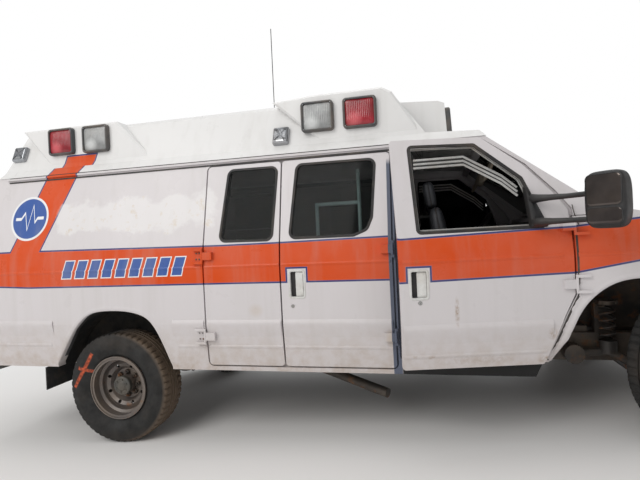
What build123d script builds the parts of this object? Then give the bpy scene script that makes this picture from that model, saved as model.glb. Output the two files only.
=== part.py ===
"""A worn full-size van ambulance with a raised roof, as an assembly of separate pieces.

Every piece is drawn in one drawing frame: X forward from mid-length, Y left, Z up from the body datum,
in millimetres. The front springs have sagged, so the hubs don't lie level in that frame. The last
function sets each piece down, nose low, with all four tyres on Z = 0, and writes its STEP file.
"""

import os
from math import atan2, cos, degrees, radians, sin

from build123d import *

os.makedirs("parts", exist_ok=True)

# Wheels and stance
WHEELBASE = 3505
REAR_AXLE_X = -1534
FRONT_AXLE_X = REAR_AXLE_X + WHEELBASE
REAR_HUB_Z = 286
FRONT_HUB_Z = 500
REAR_TRACK = 1707
FRONT_TRACK = 1763
TYRE_RADIUS = 387
TYRE_WIDTH = 245
TREAD_WIDTH = 196
BEAD_RADIUS = 205
BEAD_WIDTH = 186
RIM_LIP_RADIUS = 222
RIM_WALL = 8
HUB_RADIUS = 66
HUB_REACH = 62
HUB_BACK = 55
STUD_CIRCLE = 165.1
STUD_COUNT = 8
STUD_RADIUS = 9
SPINDLE_RADIUS = 30
BEARING_GAP = 0.5
KINGPIN_INSET = 140
STEER_AT_REST = 33
RAKE = degrees(atan2(FRONT_HUB_Z - REAR_HUB_Z, WHEELBASE))

# Body shell: half breadth of the side at each height, from the sill up to the drip rail
SIDE_ROWS = ((965, 430), (1000, 739), (1003, 1118), (985, 1260), (855, 1817))
SILL_Z = 430
RAIL_Z = 1850
REAR_X = -2590
REAR_FRAME_X = -2500
CAB_X = 450
WALL = 70
DOOR_PLATE = 20
JAMB_DEPTH = 26
JAMB_LIP = 22
BOX_INSET = 50
SHUT_GAP = 10
SEAM = 4
GLASS = 6
GLASS_DEPTH = 8
FLOOR_Z = 605
FLOOR_PLATE = 25
HINGE_OFFSET = 12
HINGE_RADIUS = 8
HINGE_LENGTH = 70
HINGE_PIN = 4
HINGE_EYE = 6
HINGE_EYE_LONG = 16
HINGE_REACH = 70
POST_REACH = 9.7
SEAT_GAP = 0.3
DRIP_Z = 1828
DRIP_SIZE = 14

# Side load door and its two leaves
LOAD_REAR_X = -803
LOAD_SPLIT_X = -275
LOAD_FRONT_X = 435
LOAD_LOW_Z = 467
LOAD_TOP_Z = 1800

# Front doors: shut edges, as X and Z
FRONT_DOOR_REAR_X = 465
FRONT_DOOR_EDGE_X = 1432
FRONT_DOOR_LOW_Z = 519
FRONT_DOOR_TOP_Z = 1822
DOOR_AJAR = 13.5
POST_X = 1436
SIDE_HINGE_HEIGHTS = (664, 1194)
FRONT_HINGE_HEIGHTS = (960, 1280)
HANDLE_DEPTH = 14
LOAD_HANDLE = ((-214, 909), (-118, 909), (-118, 1079), (-214, 1079))
DOOR_HANDLE = ((524, 916), (620, 916), (620, 1073), (524, 1073))

# Rear door leaves
REAR_DOOR_HALF = 790
REAR_DOOR_HEAD = 700
REAR_DOOR_LOW_Z = 480
REAR_DOOR_BELT_Z = 1200
REAR_DOOR_TOP_Z = 1790
REAR_WINDOW = ((120, 1262), (668, 1262), (606, 1712), (120, 1712))
REAR_HINGE_HEIGHTS = (640, 1120)

# Windscreen plane and nose
SCREEN_TOP_X = 1010
SCREEN_FOOT_X = 1570
SCREEN_FOOT_Z = 1400
COWL_Z = 1340
NOSE_X = 2640
NOSE_LOW_Z = 512
HOOD_FRONT_X = 2500
HOOD_HALF = 790
HOOD_REAR_Z = 1392
HOOD_MID_X = 2060
HOOD_MID_Z = 1272
HOOD_LIP_X = 2600
HOOD_FRONT_Z = 1085
HOOD_AXIS = (1578, 1402)
HOOD_HINGE_Y = 600
NOSE_FLANK_Y = 955
NOSE_CORNER_Y = 770
NOSE_SHEET = 36
GRILLE_HALF = 560
GRILLE_LOW_Z = 700
GRILLE_TOP_Z = 1000
GRILLE_BARS = 5
LAMP_INNER_Y = 610
LAMP_LOW_Z = 800
LAMP_TOP_Z = 1000
LAMP_SEAM = 3

# Raised roof: half breadths of its section, its side view, its light pods and its front box
ROOF_ROWS = ((854, 1850), (812, 1905), (702, 2188), (652, 2222))
ROOF_CROWN_Z = 2240
ROOF_SHEET = 40
ROOF_SIDE = (
    (-2588, 1850),
    (-2562, 1885),
    (-2448, 2180),
    (-2400, 2240),
    (430, 2240),
    (468, 2205),
    (662, 1912),
    (985, 1892),
    (1018, 1850),
)
ROOF_RIDGE_Z = 1905
POD_FACE = 800
POD_ROOT = 560
POD_EDGE = 14
REAR_POD = ((-2395, 2214), (-1560, 2214), (-1263, ROOF_RIDGE_Z), (-2130, ROOF_RIDGE_Z))
FRONT_POD = ((0, ROOF_RIDGE_Z), (-345, 2214), (-60, 2234), (400, 2234), (462, 2200), (650, ROOF_RIDGE_Z))
BOX_HALF = 560
FRONT_BOX = ((420, 1885), (420, 2190), (752, 2168), (796, 2150), (808, 1900), (780, 1885))

# Roof lamps on the pods: X and Z of each middle
LAMP_LONG = 216
LAMP_HIGH = 196
LAMP_DEPTH = 34
LAMP_CORNER = 22
POD_LAMPS = ((-2030, 2100), (-1729, 2096), (-28, 2083), (255, 2081))
BOX_LAMPS_Y = (-460, -230, 0, 230, 460)
BOX_LAMP_WIDE = 178
BOX_LAMP_Z = 2025
REAR_LAMPS_Y = (-480, 0, 480)
REAR_LAMP_Z = 2040
SCENE_LAMPS = ((-2452, 2040, 118, 124), (-290, 1976, 112, 130))
ANTENNA_X = -490
ANTENNA_Y = -300
ANTENNA_TOP_Z = 2950

# Towing mirrors: sail in the window corner, arms and head
SAIL_ROWS = ((1198, 1562), (1206, 1281), (1306, 1281))
SAIL_DEPTH = 30
SAIL_CLEAR = 0.5
ARM_ROOT_X = 1226
ARM_HEIGHTS = (1310, 1440)
ARM_RADIUS = 13
ARM_STUB = 40
HEAD_X = 1442
HEAD_Y = 1307
HEAD_Z = 1400
HEAD_WIDE = 190
HEAD_HIGH = 280
HEAD_DEEP = 100
HEAD_CORNER = 34
HEAD_TAPER = 7
# Height of the middle, and how high, for each glass
MIRROR_GLASSES = ((1448, 150), (1320, 78))

# Bumpers and frame
BUMPER_REACH = 2692
BUMPER_HALF = 985
BUMPER_SWEEP = 92
BUMPER_SHEET = 60
FRONT_BUMPER_Z = 530
FRONT_BUMPER_HIGH = 170
PANEL_LOW_Z = FRONT_BUMPER_Z + FRONT_BUMPER_HIGH / 2 + SEAM
REAR_BUMPER_Z = 410
REAR_BUMPER_HIGH = 50
REAR_BUMPER_FRONT_X = -2600
RAIL_Y = 430
RAIL_HIGH = 180
RAIL_WIDE = 70
RAIL_SHEET = 10
RAIL_REAR_X = -2515
RAIL_FRONT_X = 2575
RAIL_FOOT_Z = 400
CROSS_MEMBERS_X = (-2380, -1960, -1020, -300, 200, 2380)
JACK_PAD_X = (860, 960)
JACK_PAD = 8
FLOOR_FRONT_X = 1200
COT_PLATE = (-2300, -900, -380, 380)
COT_PLATE_THICK = 3
TUB_RADIUS = 572
TUB_SHEET = 12
TUB_INNER_Y = 645

# Running gear
AXLE_RADIUS = 45
DRUM_RADIUS = 165
DRUM_FROM, DRUM_TO = -150, -72
SPRING_Y = 560
SPRING_WIDE = 70
SPRING_THICK = 38
SPRING_EYE_Z = 452
SPRING_REACH = 640
BEAM_HIGH = 90
BEAM_WIDE = 60
ARM_Y = 522
ARM_BUSH_X = 1530
ARM_BUSH_Z = 459
ARM_BUSH_RADIUS = 60
COIL_X = 1735
COIL_LOW_Z = 545
COIL_SEAT = 12
COIL_TURNS = 5
COIL_RADIUS = 40
COIL_WIRE = 8
COIL_PITCH = 46
COIL_TOP_Z = COIL_LOW_Z + COIL_TURNS * COIL_PITCH
ENGINE = (1500, 2240, -280, 280, 520, 1060)
PIPE_RADIUS = 32
TAIL_TIP_RADIUS = 34
TAIL_TIP_LONG = 200
HANGERS_X = (-1860, -1240)
EXHAUST_RUN = (
    (-2440, -340, 320),
    (-2100, -340, 320),
    (-1900, -340, 392),
    (-1000, -340, 392),
    (-900, -290, 385),
    (-420, -290, 345),
    (344, -700, 222),
)

# Cab and load space
SEAT_Y = 470
SEAT_X = 930
SEAT_WIDE = 500
SEAT_LONG = 460
SEAT_THICK = 130
SEAT_TOP_Z = 1010
SEAT_BACK_LONG = 570
SEAT_BACK_LEAN = 8
SOFT_GAP = SEAT_GAP
DASH_HALF = 880
DASH_SIDE = (
    (1423.7, 960),
    (1290, 960),
    (1215, 1060),
    (1190, 1200),
    (1215, 1262),
    (1330, 1318),
    (1423.7, 1330),
)
STEER_WHEEL = (1085, 1268)
STEER_WHEEL_RADIUS = 190
STEER_WHEEL_TILT = 32
BULKHEAD_X = 443
BULKHEAD_SHEET = 14
COVER_HALF = 205
TUNNEL_HALF = 175
TUNNEL_TOP_Z = 900
RAIL_CLEAR_Y = 640
BENCH_X = (-2360, -880)
BENCH_Y = (480, 880)
BENCH_TOP_Z = 1000
CABINET_X = (-2400, -760)
CABINET_Y = 470
CABINET_TOP_Z = 1800
COUNTER_X = (-760, 380)
COUNTER_TOP_Z = 1180
GRAB_Y = -600
GRAB_TUBE = 13

RIGHT, LEFT = -1, 1
WIDEST = max(breadth for breadth, height in SIDE_ROWS)
FRONT_HINGE_X = FRONT_DOOR_EDGE_X + SHUT_GAP / 2
HINGE_Y = WIDEST + HINGE_OFFSET


def half_breadth(height):
    """Half breadth of the body side at a height, carried on straight past the last row."""
    for (low_b, low_z), (high_b, high_z) in zip(SIDE_ROWS, SIDE_ROWS[1:]):
        if height <= high_z or (high_b, high_z) == SIDE_ROWS[-1]:
            return low_b + (high_b - low_b) * (height - low_z) / (high_z - low_z)


def body_core(inset, rear, front, low=SILL_Z, high=RAIL_Z):
    """A solid with the body's cross-section, set in by inset, from rear to front."""
    rows = [low] + [height for breadth, height in SIDE_ROWS if low < height < high] + [high]
    right = [(-(half_breadth(height) - inset), height) for height in rows]
    left = [(-breadth, height) for breadth, height in reversed(right)]
    with BuildPart() as core:
        with BuildSketch(Plane.YZ.offset(rear)):
            with BuildLine():
                Polyline(*right, *left, close=True)
            make_face()
        extrude(amount=front - rear)
    return core.part


def side_prism(points, side, grow=0, corner=0, near=500, far=1200):
    """An outline in X and Z, taken straight through one side of the body."""
    with BuildPart() as prism:
        with BuildSketch(Plane.XZ.offset(-side * near)) as outline:
            with BuildLine():
                Polyline(*points, close=True)
            make_face()
            if corner:
                fillet(outline.vertices(), corner)
            if grow:
                offset(amount=grow, kind=Kind.INTERSECTION)
        extrude(amount=-side * (far - near))
    return prism.part


def across_prism(points, half):
    """An outline in X and Z, extruded to both sides of the middle plane."""
    with BuildPart() as prism:
        with BuildSketch(Plane.XZ):
            with BuildLine():
                Polyline(*points, close=True)
            make_face()
        extrude(amount=half, both=True)
    return prism.part


def block(x0, x1, y0, y1, z0, z1):
    """A plain box from its lowest and highest corners."""
    with BuildPart() as made:
        with Locations(((x0 + x1) / 2, (y0 + y1) / 2, (z0 + z1) / 2)):
            Box(abs(x1 - x0), abs(y1 - y0), abs(z1 - z0))
    return made.part


def rod(start, end, radius):
    """A round bar between two points."""
    with BuildPart() as bar:
        line = Vector(*end) - Vector(*start)
        with BuildSketch(Plane(origin=start, z_dir=line)):
            Circle(radius)
        extrude(amount=line.length)
    return bar.part


def set_down(part, label):
    """Turn a piece nose down about Y, stand the tyres on Z = 0, centre the bumpers, and write it."""
    rake = radians(RAKE)
    hub = Vector(REAR_AXLE_X, 0, REAR_HUB_Z)
    hub_x = hub.X * cos(rake) + hub.Z * sin(rake)
    hub_z = hub.Z * cos(rake) - hub.X * sin(rake)
    shift_x = -(FRONT_BUMPER_Z + REAR_BUMPER_Z) / 2 * sin(rake)
    lift = TYRE_RADIUS - hub_z
    placed = Location((shift_x, 0, lift)) * Location((0, 0, 0), (0, RAKE, 0)) * part
    placed.label = label
    export_step(placed, f"parts/{label}.step")




# Outlines, as X and Z
LOAD_REAR_LEAF = (
    (LOAD_REAR_X, LOAD_LOW_Z),
    (LOAD_SPLIT_X - SHUT_GAP / 2, LOAD_LOW_Z),
    (LOAD_SPLIT_X - SHUT_GAP / 2, LOAD_TOP_Z),
    (LOAD_REAR_X, LOAD_TOP_Z),
)
LOAD_FRONT_LEAF = (
    (LOAD_SPLIT_X + SHUT_GAP / 2, LOAD_LOW_Z),
    (LOAD_FRONT_X, LOAD_LOW_Z),
    (LOAD_FRONT_X, LOAD_TOP_Z),
    (LOAD_SPLIT_X + SHUT_GAP / 2, LOAD_TOP_Z),
)
LOAD_OPENING = (
    (LOAD_REAR_X, LOAD_LOW_Z),
    (LOAD_FRONT_X, LOAD_LOW_Z),
    (LOAD_FRONT_X, LOAD_TOP_Z),
    (LOAD_REAR_X, LOAD_TOP_Z),
)
REAR_LEAF_WINDOW = ((-696, 1282), (-325, 1277), (-300, 1767), (-651, 1769))
FRONT_LEAF_WINDOW = ((-213, 1282), (205, 1282), (290, 1316), (322, 1392), (348, 1767), (-172, 1770))
FRONT_DOOR = (
    (FRONT_DOOR_REAR_X, FRONT_DOOR_LOW_Z),
    (1256, FRONT_DOOR_LOW_Z),
    (1306, 631),
    (1372, 788),
    (FRONT_DOOR_EDGE_X, 906),
    (FRONT_DOOR_EDGE_X, 1375),
    (1361, 1478),
    (1212, 1650),
    (990, FRONT_DOOR_TOP_Z),
    (FRONT_DOOR_REAR_X, FRONT_DOOR_TOP_Z),
)
FRONT_DOOR_WINDOW = ((580, 1275), (1306, 1281), (1201, 1569), (952, 1780), (568, 1783))
REAR_ARCH = (
    (-2050, 400),
    (-1845, 705),
    (-1730, 812),
    (-1610, 840),
    (-1395, 838),
    (-1240, 792),
    (-1165, 680),
    (-1068, 400),
)
FRONT_ARCH = (
    (1250, 400),
    (1277, NOSE_LOW_Z),
    (1386, 650),
    (1454, 813),
    (1542, 912),
    (1650, 975),
    (1790, 990),
    (2130, 985),
    (2270, 935),
    (2370, 825),
    (2415, 690),
    (2430, 400),
)
CAB_SIDE = (
    (CAB_X, SILL_Z),
    (1215, SILL_Z),
    (1252, NOSE_LOW_Z),
    (1310, 631),
    (1376, 788),
    (POST_X, 906),
    (POST_X, COWL_Z),
    (SCREEN_FOOT_X, COWL_Z),
    (SCREEN_FOOT_X, SCREEN_FOOT_Z),
    (SCREEN_TOP_X, RAIL_Z),
    (CAB_X, RAIL_Z),
)
CAB_INSIDE = (
    (CAB_X - 20, SILL_Z - 60),
    (1180, SILL_Z - 60),
    (1240, NOSE_LOW_Z),
    (1298, 631),
    (1364, 788),
    (1424, 906),
    (1424, 1372),
    (1522, 1372),
    (SCREEN_TOP_X - 32, RAIL_Z - 38),
    (SCREEN_TOP_X - 32, RAIL_Z + 40),
    (CAB_X - 20, RAIL_Z + 40),
)
SCREEN_SLOPE = degrees(atan2(RAIL_Z - SCREEN_FOOT_Z, SCREEN_FOOT_X - SCREEN_TOP_X))
SCREEN_PLANE = Plane(
    origin=(SCREEN_FOOT_X, 0, SCREEN_FOOT_Z),
    x_dir=(0, 1, 0),
    z_dir=(sin(radians(SCREEN_SLOPE)), 0, cos(radians(SCREEN_SLOPE))),
)
# Windscreen outline on its plane: half width and distance up the slope
SCREEN_OUTLINE = ((-862, 36), (862, 36), (752, 672), (-752, 672))
SCREEN_CORNER = 60

outer_body = body_core(0, REAR_X, CAB_X)
plate_body = body_core(DOOR_PLATE, REAR_X - 50, SCREEN_FOOT_X + 100, SILL_Z - 60, RAIL_Z + 60)
jamb_body = body_core(JAMB_DEPTH, REAR_X - 50, SCREEN_FOOT_X + 100, SILL_Z - 60, RAIL_Z + 60)
inner_body = body_core(WALL, REAR_X + WALL, SCREEN_FOOT_X + 100, SILL_Z - 60, RAIL_Z + 60)


def shut_cuts(points, side, corner):
    """The two steps of a door opening: a gap round the outer plate, and a jamb lip behind its edge."""
    step = side_prism(points, side, SHUT_GAP, corner) - jamb_body
    throat = side_prism(points, side, -JAMB_LIP, corner)
    return [step, throat]


def door_box(points, side, rear, front):
    """The thicker inner part of a door, set in from its edge."""
    with BuildPart() as box:
        add(body_core(0, rear, front) & side_prism(points, side, -BOX_INSET))
        add(inner_body, mode=Mode.SUBTRACT)
    return box.part


def hung_door(points, window, side, corner, window_corner, rear, front):
    """A door: a full outer plate, a thicker box set in from its edge, and its window cut."""
    with BuildPart() as door:
        add(body_core(0, rear, front) & side_prism(points, side, 0, corner))
        add(plate_body, mode=Mode.SUBTRACT)
        add(door_box(points, side, rear, front))
        add(side_prism(window, side, 0, window_corner), mode=Mode.SUBTRACT)
    return door.part


def pane(window, side, corner, rear, front):
    """Flat glass that fills a window opening, just under the outer face."""
    face = body_core(GLASS_DEPTH, rear, front)
    back = body_core(GLASS_DEPTH + GLASS, rear - 50, front + 50)
    with BuildPart() as glass:
        add(face & side_prism(window, side, 0, corner))
        add(back, mode=Mode.SUBTRACT)
    return glass.part


def drip_rail(side, rear, front):
    """Rain gutter along the top of a body side."""
    y = side * half_breadth(DRIP_Z)
    return block(rear, front, y - side * 4, y + side * DRIP_SIZE, DRIP_Z, DRIP_Z + DRIP_SIZE)


# Hinges of the side doors
def side_strap(axis_x, side, low, high, face, reach):
    """A cranked hinge strap from the skin out to a vertical axis just outside it."""
    near, far = axis_x + (6 if reach > 0 else -6), axis_x + reach
    with BuildPart() as strap:
        add(block(near, far, side * (face - 3), side * HINGE_Y, low, high))
        add(block(axis_x, far, side * (HINGE_Y - 1), side * (HINGE_Y + 5), low, high))
    return strap.part


def side_barrels(axis_x, side, heights, reach):
    """Bored hinge barrels for the door, each with its strap."""
    with BuildPart() as barrels:
        for height in heights:
            with Locations((axis_x, side * HINGE_Y, height)):
                Cylinder(HINGE_RADIUS, HINGE_LENGTH)
            add(side_strap(axis_x, side, height - 25, height + 25, half_breadth(height), reach))
            with Locations((axis_x, side * HINGE_Y, height)):
                Cylinder(HINGE_PIN + SEAT_GAP, HINGE_LENGTH + 2, mode=Mode.SUBTRACT)
    return barrels.part


def side_pins(axis_x, side, heights, reach):
    """What carries those barrels: a pin through each, between two eyes with their straps."""
    with BuildPart() as pins:
        for height in heights:
            with Locations((axis_x, side * HINGE_Y, height)):
                Cylinder(HINGE_PIN, HINGE_LENGTH + 2 * HINGE_EYE_LONG)
            for end in (-1, 1):
                middle = height + end * (HINGE_LENGTH / 2 + SEAT_GAP + HINGE_EYE_LONG / 2)
                low, high = middle - HINGE_EYE_LONG / 2, middle + HINGE_EYE_LONG / 2
                with Locations((axis_x, side * HINGE_Y, middle)):
                    Cylinder(HINGE_EYE, HINGE_EYE_LONG)
                add(side_strap(axis_x, side, low, high, min(half_breadth(low), half_breadth(high)), reach))
    return pins.part


# Body sides
with BuildPart() as body_side_right:
    add(outer_body & block(REAR_FRAME_X, CAB_X, -1100, -400, 300, 1900))
    add(inner_body, mode=Mode.SUBTRACT)
    for cut in shut_cuts(LOAD_OPENING, RIGHT, 30) + shut_cuts(FRONT_DOOR, RIGHT, 24):
        add(cut, mode=Mode.SUBTRACT)
    add(side_prism(REAR_ARCH, RIGHT, 0, 40), mode=Mode.SUBTRACT)
    add(drip_rail(RIGHT, REAR_FRAME_X, CAB_X))
    add(side_pins(LOAD_REAR_X - SHUT_GAP / 2, RIGHT, SIDE_HINGE_HEIGHTS, -HINGE_REACH))
    add(side_pins(LOAD_FRONT_X + SHUT_GAP / 2, RIGHT, SIDE_HINGE_HEIGHTS, POST_REACH))

with BuildPart() as body_side_left:
    add(outer_body & block(REAR_FRAME_X, CAB_X, 1100, 400, 300, 1900))
    add(inner_body, mode=Mode.SUBTRACT)
    for cut in shut_cuts(FRONT_DOOR, LEFT, 24):
        add(cut, mode=Mode.SUBTRACT)
    for window in (REAR_LEAF_WINDOW, FRONT_LEAF_WINDOW):
        add(side_prism(window, LEFT, 0, 45), mode=Mode.SUBTRACT)
    add(side_prism(REAR_ARCH, LEFT, 0, 40), mode=Mode.SUBTRACT)
    add(drip_rail(LEFT, REAR_FRAME_X, CAB_X))

# Rear frame and its two leaves: outlines as half widths and heights
def rear_ring(side, grow, inner_edge):
    """Outline of one rear leaf, or of half the opening, following the body's lean."""
    low, top = REAR_DOOR_LOW_Z - grow, REAR_DOOR_TOP_Z + grow
    foot, head = REAR_DOOR_HALF + grow, REAR_DOOR_HEAD + grow
    rows = ((inner_edge, low), (foot, low), (foot, REAR_DOOR_BELT_Z), (head, top), (inner_edge, top))
    return [(side * y, z) for y, z in rows]


def whole_ring(grow):
    """Outline of the whole rear opening."""
    right = rear_ring(RIGHT, grow, 0)[1:4]
    return right + [(-y, z) for y, z in reversed(right)]


def rear_prism(points, depth_from, depth_to, corner=0):
    """An outline in Y and Z, from one depth behind the rear face to another."""
    with BuildPart() as prism:
        with BuildSketch(Plane.YZ.offset(REAR_X + depth_from)) as outline:
            with BuildLine():
                Polyline(*points, close=True)
            make_face()
            if corner:
                fillet(outline.vertices(), corner)
        extrude(amount=depth_to - depth_from)
    return prism.part


def rear_strap(side, low, high, near, far):
    """A cranked hinge strap on the rear face, from one half breadth to another and out to the axis."""
    outer_x = REAR_X - HINGE_OFFSET
    with BuildPart() as strap:
        add(block(outer_x, REAR_X + 2, side * near, side * far, low, high))
        add(block(outer_x - 5, outer_x + 1, side * (REAR_DOOR_HALF + SHUT_GAP / 2), side * far, low, high))
    return strap.part


with BuildPart() as rear_frame:
    add(body_core(0, REAR_X, REAR_FRAME_X))
    add(inner_body, mode=Mode.SUBTRACT)
    add(rear_prism(whole_ring(SHUT_GAP), -10, JAMB_DEPTH, 30), mode=Mode.SUBTRACT)
    add(rear_prism(whole_ring(-JAMB_LIP), -10, WALL + 10, 30), mode=Mode.SUBTRACT)
    for side in (RIGHT, LEFT):
        for height in REAR_HINGE_HEIGHTS:
            axis = (REAR_X - HINGE_OFFSET, side * (REAR_DOOR_HALF + SHUT_GAP / 2))
            with Locations((*axis, height)):
                Cylinder(HINGE_PIN, HINGE_LENGTH + 2 * HINGE_EYE_LONG)
            for end in (-1, 1):
                middle = height + end * (HINGE_LENGTH / 2 + SEAT_GAP + HINGE_EYE_LONG / 2)
                low, high = middle - HINGE_EYE_LONG / 2, middle + HINGE_EYE_LONG / 2
                with Locations((*axis, middle)):
                    Cylinder(HINGE_EYE, HINGE_EYE_LONG)
                add(rear_strap(side, low, high, REAR_DOOR_HALF + SHUT_GAP + 1, REAR_DOOR_HALF + SHUT_GAP + 34))

rear_leaves, rear_panes = {}, {}
for side in (RIGHT, LEFT):
    window = [(side * y, z) for y, z in REAR_WINDOW]
    with BuildPart() as leaf:
        add(rear_prism(rear_ring(side, 0, SHUT_GAP / 2), 0, DOOR_PLATE))
        add(rear_prism(rear_ring(side, -BOX_INSET, SHUT_GAP / 2 + BOX_INSET), DOOR_PLATE, WALL))
        add(rear_prism(window, -5, WALL + 5, 45), mode=Mode.SUBTRACT)
        for height in REAR_HINGE_HEIGHTS:
            barrel = (REAR_X - HINGE_OFFSET, side * (REAR_DOOR_HALF + SHUT_GAP / 2), height)
            with Locations(barrel):
                Cylinder(HINGE_RADIUS, HINGE_LENGTH)
            add(rear_strap(side, height - 25, height + 25, REAR_DOOR_HALF - 1, REAR_DOOR_HALF - 60))
            with Locations(barrel):
                Cylinder(HINGE_PIN + SEAT_GAP, HINGE_LENGTH + 2, mode=Mode.SUBTRACT)
    rear_leaves[side] = leaf.part
    with BuildPart() as glass:
        add(rear_prism(window, GLASS_DEPTH, GLASS_DEPTH + GLASS, 45))
    rear_panes[side] = glass.part

# Cab shell: header, cowl, windscreen pillars, sills, firewall and the front half of each door post
with BuildPart() as cab_shell:
    add(body_core(0, CAB_X, SCREEN_FOOT_X) & across_prism(CAB_SIDE, 1100))
    add(inner_body & across_prism(CAB_INSIDE, 1100), mode=Mode.SUBTRACT)
    for side in (RIGHT, LEFT):
        for cut in shut_cuts(FRONT_DOOR, side, 24):
            add(cut, mode=Mode.SUBTRACT)
    add(block(1100, 1340, -RAIL_CLEAR_Y, RAIL_CLEAR_Y, 300, RAIL_FOOT_Z + RAIL_HIGH), mode=Mode.SUBTRACT)
    add(block(1100, 1440, -TUNNEL_HALF, TUNNEL_HALF, 300, TUNNEL_TOP_Z), mode=Mode.SUBTRACT)
    for side in (RIGHT, LEFT):
        middle = (HOOD_AXIS[0], side * HOOD_HINGE_Y, HOOD_AXIS[1])
        with Locations(middle):
            Cylinder(HINGE_PIN, HINGE_LENGTH / 2 + 2 * HINGE_EYE_LONG, rotation=(90, 0, 0))
        for end in (-1, 1):
            eye_y = middle[1] + end * (HINGE_LENGTH / 4 + SEAT_GAP + HINGE_EYE_LONG / 2)
            with Locations((middle[0], eye_y, middle[2])):
                Cylinder(HINGE_EYE, HINGE_EYE_LONG, rotation=(90, 0, 0))
            add(block(SCREEN_FOOT_X - 14, HOOD_AXIS[0], eye_y - HINGE_EYE_LONG / 2, eye_y + HINGE_EYE_LONG / 2,
                      HOOD_AXIS[1] - 2, HOOD_AXIS[1] + HINGE_EYE))
            add(block(SCREEN_FOOT_X - 14, SCREEN_FOOT_X, eye_y - HINGE_EYE_LONG / 2, eye_y + HINGE_EYE_LONG / 2,
                      HOOD_AXIS[1] - 30, HOOD_AXIS[1] + HINGE_EYE))
    with BuildSketch(SCREEN_PLANE.offset(-120)) as screen_hole:
        with BuildLine():
            Polyline(*SCREEN_OUTLINE, close=True)
        make_face()
        fillet(screen_hole.vertices(), SCREEN_CORNER)
    extrude(amount=200, mode=Mode.SUBTRACT)

with BuildPart() as fixed_glass:
    for window in (REAR_LEAF_WINDOW, FRONT_LEAF_WINDOW):
        add(pane(window, LEFT, 45, LOAD_REAR_X, CAB_X))
    with BuildSketch(SCREEN_PLANE.offset(-GLASS_DEPTH)) as screen_face:
        with BuildLine():
            Polyline(*SCREEN_OUTLINE, close=True)
        make_face()
        fillet(screen_face.vertices(), SCREEN_CORNER)
    extrude(amount=-GLASS)


# Side load leaves and front doors
with BuildPart() as door_side_rear:
    add(hung_door(LOAD_REAR_LEAF, REAR_LEAF_WINDOW, RIGHT, 24, 45, LOAD_REAR_X - 5, LOAD_SPLIT_X))
    add(side_barrels(LOAD_REAR_X - SHUT_GAP / 2, RIGHT, SIDE_HINGE_HEIGHTS, HINGE_REACH))

with BuildPart() as door_side_front:
    add(hung_door(LOAD_FRONT_LEAF, FRONT_LEAF_WINDOW, RIGHT, 24, 45, LOAD_SPLIT_X, LOAD_FRONT_X + 5))
    add(side_barrels(LOAD_FRONT_X + SHUT_GAP / 2, RIGHT, SIDE_HINGE_HEIGHTS, -HINGE_REACH))
    add(side_prism(LOAD_HANDLE, RIGHT, 0, 14) - body_core(HANDLE_DEPTH, -400, 0), mode=Mode.SUBTRACT)

with BuildPart() as glass_side_rear:
    add(pane(REAR_LEAF_WINDOW, RIGHT, 45, LOAD_REAR_X, LOAD_SPLIT_X))

with BuildPart() as glass_side_front:
    add(pane(FRONT_LEAF_WINDOW, RIGHT, 45, LOAD_SPLIT_X, LOAD_FRONT_X))


def front_door(side):
    """A front door with its handle pocket and hinge barrels, shut."""
    with BuildPart() as door:
        add(hung_door(FRONT_DOOR, FRONT_DOOR_WINDOW, side, 20, 24, CAB_X, SCREEN_FOOT_X))
        add(side_prism(DOOR_HANDLE, side, 0, 14) - body_core(HANDLE_DEPTH, CAB_X, 800), mode=Mode.SUBTRACT)
        add(side_barrels(FRONT_HINGE_X, side, FRONT_HINGE_HEIGHTS, -HINGE_REACH))
    return door.part


def tow_mirror(side):
    """A towing mirror: a sail in the window's front corner, two arms, and a tall head with two glasses."""
    with BuildPart() as mirror:
        add(body_core(GLASS_DEPTH, CAB_X, SCREEN_FOOT_X) & side_prism(SAIL_ROWS, side)
            & side_prism(FRONT_DOOR_WINDOW, side, 0, 24))
        add(body_core(SAIL_DEPTH, CAB_X - 10, SCREEN_FOOT_X + 10), mode=Mode.SUBTRACT)
        for height in ARM_HEIGHTS:
            root_y = half_breadth(height)
            elbow = (ARM_ROOT_X, side * (root_y + ARM_STUB), height)
            add(rod((ARM_ROOT_X, side * (root_y - SAIL_DEPTH + 2), height), elbow, ARM_RADIUS))
            add(rod(elbow, (HEAD_X, side * (HEAD_Y - HEAD_WIDE / 2 + 20), height), ARM_RADIUS))
            with Locations(elbow):
                Sphere(ARM_RADIUS)
        with BuildSketch(Plane.YZ.offset(HEAD_X - HEAD_DEEP / 2)):
            with Locations((side * HEAD_Y, HEAD_Z)):
                RectangleRounded(HEAD_WIDE, HEAD_HIGH, HEAD_CORNER)
        extrude(amount=HEAD_DEEP, taper=HEAD_TAPER)
        with BuildSketch(Plane.YZ.offset(HEAD_X - HEAD_DEEP / 2)):
            for centre, high in MIRROR_GLASSES:
                with Locations((side * HEAD_Y, centre)):
                    RectangleRounded(HEAD_WIDE - 24, high, 14)
        extrude(amount=7, mode=Mode.SUBTRACT)
    return mirror.part


def ajar(part):
    """Swing a piece of the right front door out about its hinge to where it stands in the photograph."""
    return part.rotate(Axis((FRONT_HINGE_X, RIGHT * HINGE_Y, 0), (0, 0, 1)), DOOR_AJAR)


door_front_right = ajar(front_door(RIGHT))
door_front_left = front_door(LEFT)
mirror_right = ajar(tow_mirror(RIGHT))
mirror_left = tow_mirror(LEFT)

with BuildPart() as glass_front_left:
    add(pane(FRONT_DOOR_WINDOW, LEFT, 24, CAB_X, SCREEN_FOOT_X))
    add(side_prism(SAIL_ROWS, LEFT, SAIL_CLEAR), mode=Mode.SUBTRACT)


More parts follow.
